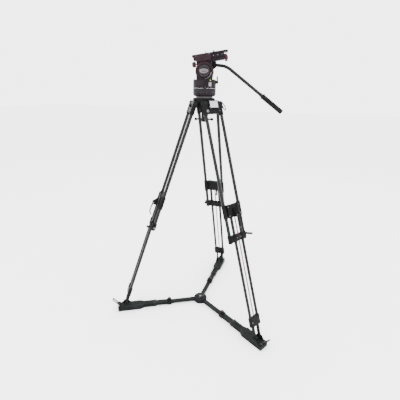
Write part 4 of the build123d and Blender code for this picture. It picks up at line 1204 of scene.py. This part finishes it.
# ---- crown and levelling bowl -----------------------------------------------------
@dataclass
class CrownTrim:
    """Machined rim, screws and gussets of the crown, and the tie-down knob's grip."""

    rim_radius: float = 61.0
    bowl_radius: float = 51.5
    screw: float = 3.6
    screws: int = 9

    def __post_init__(self) -> None:
        """Lay the crown's frame on its top face."""
        _low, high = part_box("crown")
        self.axes = Axes(Vector((0, 0, high.z)), Vector((1, 0, 0)), UP)

    def build(self) -> None:
        """Make every piece of the crown."""
        self.rim()
        self.lugs()
        self.neck()
        self.tie_down()

    def rim(self) -> None:
        """Bright machined bowl rim with screws round it."""
        rim = Form().lathe([(self.bowl_radius, -3), (self.bowl_radius + 0.8, 0.7),
                            (self.rim_radius - 1, 0.7), (self.rim_radius, -0.4),
                            (self.rim_radius, -3)], 96)
        rim.place("bowl_rim", Look.BOWL, "crown", self.axes, "bowl")
        for index in range(self.screws):
            turn = tau * (index + 0.5) / self.screws
            spot = self.axes.at(56.3 * cos(turn), 56.3 * sin(turn), -1.0)
            cap_screw(2.2).place(f"rim_screw_{index}", Look.STEEL, "crown", spot, "lever")
        band = Form().lathe([(62.6, -24), (63.2, -23), (63.2, -17), (62.6, -16),
                             (61, -16), (61, -24)], 96)
        band.place("crown_band", Look.CASTING, "crown", self.axes, "casting")

    def lugs(self) -> None:
        """Ribs beside each hinge lug."""
        for leg in LEGS:
            axes = LegTrim(leg).axes
            out = Vector((axes.z.x, axes.z.y, 0)).normalized()
            spot = Axes(Vector((0, 0, self.axes.origin.z)), out, UP)
            for side, tag in ((-1, "left"), (1, "right")):
                rib = Form().block((14, 3.2, 17), bevel=1.2)
                rib.place(f"lug_rib_{leg}_{tag}", Look.CASTING, "crown",
                          spot.at(56, side * 26, -9.5), "casting")

    def neck(self) -> None:
        """Ring round the neck between the bowl and the pan base."""
        low, _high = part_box("pan_base")
        foot = Axes(Vector((0, 0, low.z)), Vector((1, 0, 0)), UP)
        seal = Form().lathe([(36, -2), (42.4, -2), (43, -1.4), (43, 0.5), (36, 0.5)], 96)
        seal.place("neck_seal", Look.RUBBER, "half_ball", foot, "bowl")

    def tie_down(self) -> None:
        """Grooved sleeve and end cap of the tie-down knob."""
        low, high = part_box("tie_down_knob")
        foot = Axes(Vector((0, 0, low.z)), Vector((1, 0, 0)), UP)
        length = (high.z - low.z) / MM
        ring = Form().lathe([(14.5, 0), (15.8, 0.8), (16.3, 2), (15.8, 3.2), (14.5, 4)], 48)
        sleeve = Form()
        for step in range(6):
            sleeve.join(Form().join(ring).at(z=length - 34 + 5.2 * step))
        ring.mesh.free()
        sleeve.place("tie_down_rings", Look.LEVER, "tie_down_knob", foot, "lever")
        end = Form().lathe([(0, -2.6), (8, -2.6), (11.5, -1.2), (12.5, 0.6), (0, 0.6)], 40)
        end.place("tie_down_end", Look.LEVER, "tie_down_knob", foot, "lever")


# ---- fluid head --------------------------------------------------------------------
@dataclass
class PanTrim:
    """Ticks, screws and level round the head's base and turret."""

    radius: float = 66.0
    ticks: int = 72
    level_turn: float = -43.5
    level_radius: float = 11.0
    turret_drop: float = 43.0

    def __post_init__(self) -> None:
        """Find the turret's top and the direction that the level faces."""
        self.top = joint_point("tilt").z - self.turret_drop * MM
        turn = radians(self.level_turn)
        self.ray = Vector((cos(turn), sin(turn), 0))

    def build(self) -> None:
        """Make every piece of the base."""
        self.scale()
        self.turret()
        self.level()
        self.lever()

    @staticmethod
    def upright(height: float) -> Axes:
        """A frame on the pan axis at a height in metres."""
        return Axes(Vector((0, 0, height)), Vector((1, 0, 0)), UP)

    def scale(self) -> None:
        """Degree marks round the base and the bead above them."""
        low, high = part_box("pan_drag_ring")
        marks = Form()
        for step in range(self.ticks):
            tall = 4.6 if step % 6 == 0 else 2.6
            turn = tau * step / self.ticks
            tick = Form().block((0.5, 0.7, tall), (self.radius, 0, -1.2 - tall / 2), bevel=0)
            tick.turned(turn, "Z")
            marks.join(tick)
            tick.mesh.free()
        marks.place("pan_scale", Look.MARK, "half_ball", self.upright(low.z), "head")
        bead = Form().lathe([(65, 0), (66.6, 0.4), (67, 1.4), (66.6, 2.4), (65, 2.8)], 96)
        bead.place("turret_bead", Look.RING, "head_body", self.upright(high.z).at(z=0.6),
                   "ring")
        pointer = Form().prism([(-2.6, 8), (2.6, 8), (0, 2.6)], 0.8, bevel=0)
        ray = Vector((cos(radians(self.level_turn - 24)), sin(radians(self.level_turn - 24)), 0))
        spot = Axes(Vector((0, 0, high.z)) + ray * (self.radius - 0.3) * MM, UP.cross(ray), ray)
        pointer.place("pan_pointer", Look.MARK, "head_body", spot, "head")

    def turret(self) -> None:
        """Screws on the turret's top, and a line and a pale panel on its wall."""
        for index, turn in enumerate((-1.9, -1.25, 1.25, 1.9, -0.28, 3.3)):
            spot = self.upright(self.top).at(57 * cos(turn + 0.2), 57 * sin(turn + 0.2), 0)
            cap_screw(3.0).place(f"turret_screw_{index}", Look.LEVER, "head_body", spot, "lever")
        groove = Form().lathe([(65, 0), (66.4, 0.3), (66.6, 1.0), (66.4, 1.7), (65, 2)], 96)
        groove.place("turret_line", Look.TURRET, "head_body", self.upright(self.top).at(z=-14), "head")
        wall = Axes(Vector((0, 0, self.top)) + self.ray * (self.radius - 0.9) * MM,
                    UP.cross(self.ray), self.ray)
        panel = Form().block((17, 22, 1.8), (0, -25, 0), bevel=0.7)
        panel.place("turret_panel", Look.PANEL, "head_body", wall, "plate")

    def level(self) -> None:
        """Round bubble level in a cup at the turret's edge."""
        lean = (UP + self.ray * 0.9).normalized()
        spot = Axes(Vector((0, 0, self.top - 0.007)) + self.ray * 0.058, UP.cross(self.ray), lean)
        size = self.level_radius
        cup = Form().lathe([(size - 2, 7.2), (size - 1.2, 8.6), (size, 8.2), (size + 0.6, 6),
                            (size + 0.6, -6), (0, -6)], 48)
        cup.lathe([(size - 2, 7.2), (size - 2.2, 5.4), (0, 5.4)], 48)
        cup.place("level_cup", Look.LEVER, "head_body", spot, "lever")
        dome = Form().lathe([(0, 8.2), (3, 8.0), (6, 7.2), (size - 2, 5.2)], 40)
        dome.place("level_vial", Look.FLUID, "head_body", spot, "lever")
        circle = Form().ring(3.4, 0.25, 8.0, 32)
        circle.place("level_circle", Look.GRIP, "head_body", spot, "lever")

    def lever(self) -> None:
        """Cap on the pan brake's pivot."""
        point, axis = joint_point("pan_brake_swing"), joint_axis("pan_brake_swing")
        cap = Form().lathe([(0, 1.6), (3.2, 1.6), (3.8, 2.6), (7, 2.6), (8, 1.6), (8, -0.5)], 32)
        cap.place("pan_brake_cap", Look.RED_KNOB, "pan_brake_lever",
                  Axes(point, UP, axis).at(z=10.3), "red_knob")


@dataclass
class TiltTrim:
    """Covers, discs, knobs and plate fittings of the tilting head."""

    cover_depth: float = 3.6
    cheek_screws: int = 6
    housing_flank: float = 34.8
    plate_top: float = 92.0
    cheek_face: float = 44.9
    shoulder_face: float = 47.3
    knob_face: float = 58.9

    def __post_init__(self) -> None:
        """Lay the fixed and the tilting frames on the tilt axis."""
        self.far = joint_axis("tilt")
        self.along = joint_axis("plate_slide")
        rear = self.far.cross(UP)
        origin = joint_point("tilt")
        self.fixed = Axes(origin, rear, -self.far)
        self.near = Axes(origin, self.along, -self.far)
        self.top = Axes(origin, self.along, self.along.cross(self.far))

    def build(self) -> None:
        """Make every piece of the tilting head."""
        self.covers()
        self.cheeks()
        self.drag_disc()
        self.brake()
        self.red_knobs()
        self.housing()
        self.plate()

    def side(self, far: bool) -> Axes:
        """The near side's frame, or the far side's.

        Args:
            far: Whether it is the far side.

        Returns:
            The frame, with z outward.
        """
        if not far:
            return self.near
        return Axes(self.near.origin, -self.along, self.far)

    def covers(self) -> None:
        """Raised shield-shaped covers on both flanks of the neck."""
        shield = [(-40, 87), (43, 87), (48, 70), (46, 51.8), (-36, 51.8), (-41, 66)]
        inset = [(-34, 83), (37, 83), (41, 70), (40, 55.5), (-31, 55.5), (-35, 66)]
        for far, tag in ((False, "near"), (True, "far")):
            flip = -1 if far else 1
            outline = [(flip * x, y) for x, y in shield][::flip]
            panel = [(flip * x, y) for x, y in inset][::flip]
            cover = Form().prism(outline, self.cover_depth, self.shoulder_face - 0.6, bevel=1.4)
            cover.block((78, 25, 13.5), (flip * 3, 74.5, 41.5), bevel=1.0)
            cover.place(f"neck_cover_{tag}", Look.HEAD, "tilt_stage", self.side(far), "head")
            plate = Form().prism(panel, 1.0, self.shoulder_face + self.cover_depth - 0.8,
                                 bevel=0.4)
            plate.place(f"neck_panel_{tag}", Look.HEAD, "tilt_stage", self.side(far), "head")
            for index, (x, y) in enumerate(((-36, 82), (38.5, 82))):
                screw = cap_screw(2.2)
                screw.place(f"cover_screw_{tag}_{index}", Look.STEEL, "tilt_stage",
                            self.side(far).at(flip * x, y, self.shoulder_face
                                              + self.cover_depth - 0.8), "lever")

    def cheeks(self) -> None:
        """Raised ring round the near cheek's face and webs between the cheeks."""
        profile = [(36, -0.5), (36, 1.4), (37, 2.2), (47.6, 2.2), (48.8, 1.2), (48.8, -0.5)]
        ring = Form().lathe(profile, 96)
        ring.place("cheek_ring_near", Look.HEAD, "head_body",
                   self.fixed.at(z=self.cheek_face), "head")
        for index in range(self.cheek_screws):
            turn = tau * (index + 0.5) / self.cheek_screws
            spot = self.fixed.at(42 * cos(turn), 42 * sin(turn), self.cheek_face + 2.0)
            cap_screw(2.4).place(f"cheek_screw_{index}", Look.LEVER, "head_body", spot, "lever")
        for side, tag in ((-1, "front"), (1, "rear")):
            web = Form().block((4, 10, 72), (side * 43, -38, 0), bevel=1.5)
            web.place(f"yoke_web_{tag}", Look.TURRET, "head_body", self.fixed, "head")

    def drag_disc(self) -> None:
        """Face and plain emblem of the tilt drag disc, and a pale arc on the cheek that is a painted highlight."""
        body, span = "tilt_drag_knob", self.knob_face
        spot = self.fixed.at(z=span)
        face = Form().lathe([(0, 1.2), (20.5, 1.2), (22, 2.2), (29.6, 2.2), (31.4, 1.2),
                             (31.6, -0.5)], 96)
        face.place("drag_face", Look.RING, body, spot, "ring")
        badge = Form().prism([(-24, -5), (-10, -12), (12, -11), (24, -2), (22, 7), (6, 12),
                              (-14, 11), (-25, 5)], 1.4, 1.4, bevel=0.5)
        badge.place("drag_badge", Look.EMBLEM, body, spot, "plate")
        mark = Form().block((34, 3.2, 0.6), (-1, 4.2, 2.9), bevel=0.2)
        mark.block((34, 3.2, 0.6), (1, -4.2, 2.9), bevel=0.2)
        mark.place("drag_mark", Look.RING, body, spot, "ring")
        ticks = Form()
        for step in range(24):
            tick = Form().block((2.4, 0.7, 0.5), (26.5, 0, 2.2), bevel=0)
            tick.turned(tau * step / 24, "Z")
            ticks.join(tick)
            tick.mesh.free()
        ticks.place("drag_ticks", Look.MARK, body, spot, "ring")
        # Pale arc on the cheek: a painted highlight that stands in for light caught by the disc's chamfer.
        arc = [Vector((39.5 * cos(turn), 39.5 * sin(turn), 2.2))
               for turn in (radians(-88 + 6 * step) for step in range(14))]
        scale = Form().tube(arc, 1.7, 10)
        scale.place("cheek_painted_highlight", Look.PANEL, "head_body", self.fixed.at(z=self.cheek_face - 1),
                    "plate")

    def brake(self) -> None:
        """Cap of the tilt brake's pivot on the far side."""
        far_side = Axes(self.fixed.origin, -self.fixed.x, self.far)
        cap = Form().lathe([(0, 1.8), (3.6, 1.8), (4.4, 3), (9, 3), (10.4, 1.6), (10.4, -0.5)], 40)
        cap.place("tilt_brake_cap", Look.RED_KNOB, "tilt_brake_lever",
                  far_side.at(z=self.cheek_face + 8.2), "red_knob")

    def red_knobs(self) -> None:
        """Star knob behind the housing and round knob in front of the neck."""
        brake = Axes(joint_point("plate_brake_turn"), self.far, self.along)
        low, high = extent("plate_brake_knob", brake)
        length, reach = high.z - low.z, (high.x - low.x) / 2
        knob = Form().prism(star(reach, 5.2, 5, 14), length - 4, 0, bevel=2.6)
        knob.rod(reach * 0.5, 4, (0, 0, length - 4.2), bevel=1.6)
        knob.rod(reach * 0.4, 2, (0, 0, -0.4), bevel=0)
        knob.place("star_knob", Look.RED_KNOB, "plate_brake_knob", brake.at(z=low.z + 0.4),
                   "red_knob", ("plate_brake_knob",))
        cap = Form().lathe([(0, 0.9), (4.4, 0.9), (5.2, 0.3), (5.2, -0.5)], 32)
        cap.place("star_knob_cap", Look.LEVER, "plate_brake_knob", brake.at(z=high.z), "lever")
        front = Axes(joint_point("balance_turn"), self.far, -self.along)
        low, high = extent("balance_knob", front)
        reach, length = (high.x - low.x) / 2, high.z - low.z
        round_knob = Form().prism(star(reach, 1.5, 12, 8), length - 5, 2, bevel=0.9)
        round_knob.rod(reach * 0.72, 4, (0, 0, length - 3.6), bevel=1.4)
        round_knob.rod(reach * 0.6, 3, (0, 0, 0), bevel=0.4)
        round_knob.place("round_knob", Look.RED_KNOB, "balance_knob", front.at(z=low.z),
                         "red_knob", ("balance_knob",))

    def housing(self) -> None:
        """Rails, screws and end plates of the housing."""
        for far, tag in ((False, "near"), (True, "far")):
            flip = -1 if far else 1
            rail = Form().block((62, 3.2, 2.0), (flip * 84, 82.5, self.housing_flank + 0.6), bevel=0.8)
            rail.place(f"housing_rail_{tag}", Look.TURRET, "tilt_stage", self.side(far), "head")
            for index, x in enumerate((60, 84, 108, -47)):
                cap_screw(2.4).place(f"housing_screw_{tag}_{index}", Look.STEEL, "tilt_stage",
                                     self.side(far).at(flip * x, 72, self.housing_flank), "lever")
        back = Axes(self.near.origin, self.far, self.along)
        plate = Form().block((54, 24, 2.4), (0, 64, 118.4), bevel=1)
        plate.place("housing_end", Look.CASTING, "tilt_stage", back, "head")
        lock = Form().block((15, 9, 7), (0, 0, 0), bevel=2)
        lock.rod(4.5, 5, (0, 0, 2), bevel=1)
        lock.place("plate_release", Look.RED_KNOB, "tilt_stage",
                   self.near.at(-46, 74, 38), "red_knob")

    def plate(self) -> None:
        """Pads, slots, scale and screws of the camera plate."""
        low, high = extent("slide_plate", self.top)
        body, middle, top = "slide_plate", (low.x + high.x) / 2, self.plate_top
        for x, tag in ((middle - 60, "front"), (middle + 60, "rear")):
            pad = Form().block((64, 36, 1.4), (x, 0, top + 0.2), bevel=0.5)
            pad.place(f"plate_pad_{tag}", Look.RUBBER, body, self.top, "grip")
        slot = Form()
        for x in (middle - 22, middle + 22):
            slot.block((30, 11, 0.5), (x, 0, top), bevel=0.2)
        slot.place("plate_slots", Look.GRIP, body, self.top, "plate")
        for x, radius, tag in ((middle + 22, 4.76, "big"), (middle - 22, 3.17, "small")):
            thread = Form()
            for step in range(6):
                thread.join(Form().ring(radius - 0.15, 0.4, 1.6 + 1.25 * step, 32))
            thread.rod(radius + 3, 1.6, (0, 0, 0), bevel=0.5)
            thread.place(f"camera_screw_{tag}", Look.STEEL, body, self.top.at(x, 0, top),
                         "plate")
        marks = Form()
        for step in range(25):
            tall = 4 if step % 5 == 0 else 2.2
            marks.block((0.6, tall, 0.5), (middle - 60 + 5 * step, 87.6 - tall / 2, 24.2),
                        bevel=0)
        marks.place("plate_scale", Look.MARK, body, self.near, "plate")
        for end, tag in ((low.x, "front"), (high.x, "rear")):
            stop = Form().block((3, 30, 5.5), (end, 0, 86.2), bevel=1)
            stop.place(f"plate_stop_{tag}", Look.LEVER, body,
                       self.top, "plate")


@dataclass
class BarTrim:
    """Clamp, collar, ribbed grip and knob cap of the pan bar."""

    pitch: float = 6.2

    def build(self) -> None:
        """Make every piece of the pan bar."""
        self.grip()
        self.rosette()
        self.knob()

    @staticmethod
    def shaft() -> tuple[Axes, float]:
        """Find the grip's middle line from its CAD node.

        Returns:
            The grip's frame, with z along the bar away from the head, and its length
            in millimetres.
        """
        spots = [vert.co.copy() for vert in frame["nodes"]["pan_grip"].data.vertices]
        side = joint_axis("tilt")
        rear = side.cross(UP)
        ways = [rear * cos(angle) - UP * sin(angle)
                for angle in (radians(step / 10) for step in range(200, 500))]

        def span(way: Vector) -> tuple[float, float]:
            """The grip's lowest and highest reach along a direction."""
            reach = [spot.dot(way) for spot in spots]
            return min(reach), max(reach)

        def width(way: Vector) -> float:
            """The grip's width square to a direction of the bar."""
            low, high = span(way.cross(side))
            return high - low

        ahead = min(ways, key=width)
        lift = ahead.cross(side)
        start, end = span(ahead)
        origin = ahead * start + side * sum(span(side)) / 2 + lift * sum(span(lift)) / 2
        return Axes(origin, side, ahead), (end - start) / MM

    def grip(self) -> None:
        """Ribbed handle with a hand stop and an end cap."""
        axes, length = self.shaft()
        stop = [(9.6, 0.4), (16.5, 0.4), (17.6, 1.4), (17.8, 3.5), (17.2, 5.8), (14.2, 8.4)]
        wave, place = [], 10.0
        while place < length - 16:
            wave += [(13.7, place), (14.5, place + 1.0), (14.8, place + 2.2),
                     (14.5, place + 3.4), (13.7, place + 4.4)]
            place += self.pitch
        end = [(13.9, length - 13), (14.6, length - 11), (14.8, length - 6),
               (13.6, length - 2), (10.5, length - 0.4), (0, length - 0.2)]
        handle = Form().lathe(stop + wave + end, 56)
        handle.place("bar_grip", Look.GRIP, "pan_bar", axes, "grip", ("pan_grip",))
        collar = Form().lathe([(9.3, -16), (10.8, -16), (11.3, -14.8), (11.3, -1), (10.8, 0.2),
                               (9.3, 0.6)], 48)
        collar.place("grip_collar", Look.BAR, "pan_bar", axes, "bar")
        clip = Form().ring(11.2, 0.7, -7.5, 48)
        clip.place("collar_band", Look.STEEL, "pan_bar", axes, "plate")

    def rosette(self) -> None:
        """Radial teeth between the head's boss and the bar's boss."""
        spot = Axes(joint_point("pan_bar_swing"), joint_axis("tilt").cross(UP),
                    joint_axis("tilt"))
        teeth = Form()
        for step in range(30):
            tooth = Form().block((9, 1.6, 1.2), (19.4, 0, -0.5), bevel=0)
            tooth.turned(tau * step / 30, "Z")
            teeth.join(tooth)
            tooth.mesh.free()
        teeth.place("rosette_teeth", Look.LEVER, "tilt_stage", spot, "head")
        clamp = Form().lathe([(23.6, 2.2), (25, 3.4), (25, 10), (23.6, 11.2), (22, 11.2),
                              (22, 2.2), (23.6, 2.2)], 64)
        clamp.place("bar_clamp", Look.BAR, "pan_bar", spot, "bar")

    def knob(self) -> None:
        """Red cap of the pan bar's lock knob."""
        spot = Axes(joint_point("pan_bar_knob_turn"), joint_axis("tilt").cross(UP),
                    joint_axis("tilt"))
        _low, high = extent("pan_bar_knob", spot)
        cap = Form().lathe([(0, 1.6), (6, 1.6), (8.6, 0.9), (9.4, -0.4)], 40)
        cap.place("bar_knob_cap", Look.RED_KNOB, "pan_bar_knob", spot.at(z=high.z), "red_knob")


# ---- studio ------------------------------------------------------------------
@dataclass
class Studio:
    """Pale floor and backdrop, soft lights and the camera."""

    floor_size: float = 40.0
    eye: tuple[float, float, float] = (0.5940, -1.7770, 1.4818)
    heading: float = -18.937
    pitch: float = -20.19
    roll: float = 0.98
    lens: float = 27.34

    def build(self) -> None:
        """Make all of it."""
        self.floor()
        self.world()
        self.lights()
        self.camera()

    def floor(self) -> None:
        """A wide plain floor."""
        mesh = bmesh.new()
        bmesh.ops.create_grid(mesh, x_segments=2, y_segments=2, size=self.floor_size / 2)
        data = bpy.data.meshes.new("floor")
        mesh.to_mesh(data)
        mesh.free()
        floor = bpy.data.objects.new("floor", data)
        bpy.context.scene.collection.objects.link(floor)
        graph = Graph("floor")
        tint = graph.ramp(graph.noise(0.7), {0.3: (0.93, 0.93, 0.93), 0.7: (0.95, 0.95, 0.95)})
        graph.link(tint, graph.shader.inputs["Base Color"])
        graph.set(Roughness=0.9)
        data.materials.append(graph.material)

    def world(self) -> None:
        """An even white surround."""
        world = bpy.data.worlds.new("surround")
        bpy.context.scene.world = world
        world.use_nodes = True
        sky = world.node_tree.nodes["Background"]
        sky.inputs["Color"].default_value = (1, 1, 1, 1)
        sky.inputs["Strength"].default_value = 4.5

    def lights(self) -> None:
        """A large key light, a fill and a light from behind."""
        for name, spot, size, power in (
            ("key", (-1.6, -2.6, 3.2), 1.8, 110),
            ("fill", (3.2, -1.2, 2.2), 2.2, 45),
            ("back", (0.4, 3.2, 2.8), 2.4, 45),
        ):
            data = bpy.data.lights.new(name, "AREA")
            data.size = size
            data.energy = power
            light = bpy.data.objects.new(name, data)
            light.location = spot
            aim = Vector((0, 0, 0.9)) - Vector(spot)
            light.rotation_euler = aim.to_track_quat("-Z", "Y").to_euler()
            bpy.context.scene.collection.objects.link(light)

    def camera(self) -> None:
        """A camera at standing height that looks down a little."""
        yaw, pitch, roll = (radians(angle) for angle in (self.heading, self.pitch, self.roll))
        ahead = Vector((sin(yaw) * cos(pitch), cos(yaw) * cos(pitch), sin(pitch)))
        right = Vector((cos(yaw), -sin(yaw), 0))
        above = right.cross(ahead)
        across = right * cos(roll) + above * sin(roll)
        data = bpy.data.cameras.new("camera")
        data.lens = self.lens
        data.sensor_width = 36
        camera = bpy.data.objects.new("camera", data)
        camera.matrix_world = Axes(Vector(self.eye), across, -ahead).matrix
        bpy.context.scene.collection.objects.link(camera)
        bpy.context.scene.camera = camera


def main() -> None:
    """Build every part of the scene in order."""
    Studio().build()
    Dresser().dress()
    for leg in LEGS:
        LegTrim(leg).build()
        ArmTrim(leg).build()
    NamePlate().build()
    HubTrim().build()
    CrownTrim().build()
    PanTrim().build()
    TiltTrim().build()
    BarTrim().build()


if __name__ == "__main__":
    logging.basicConfig(level=logging.INFO, format="%(message)s")
    main()
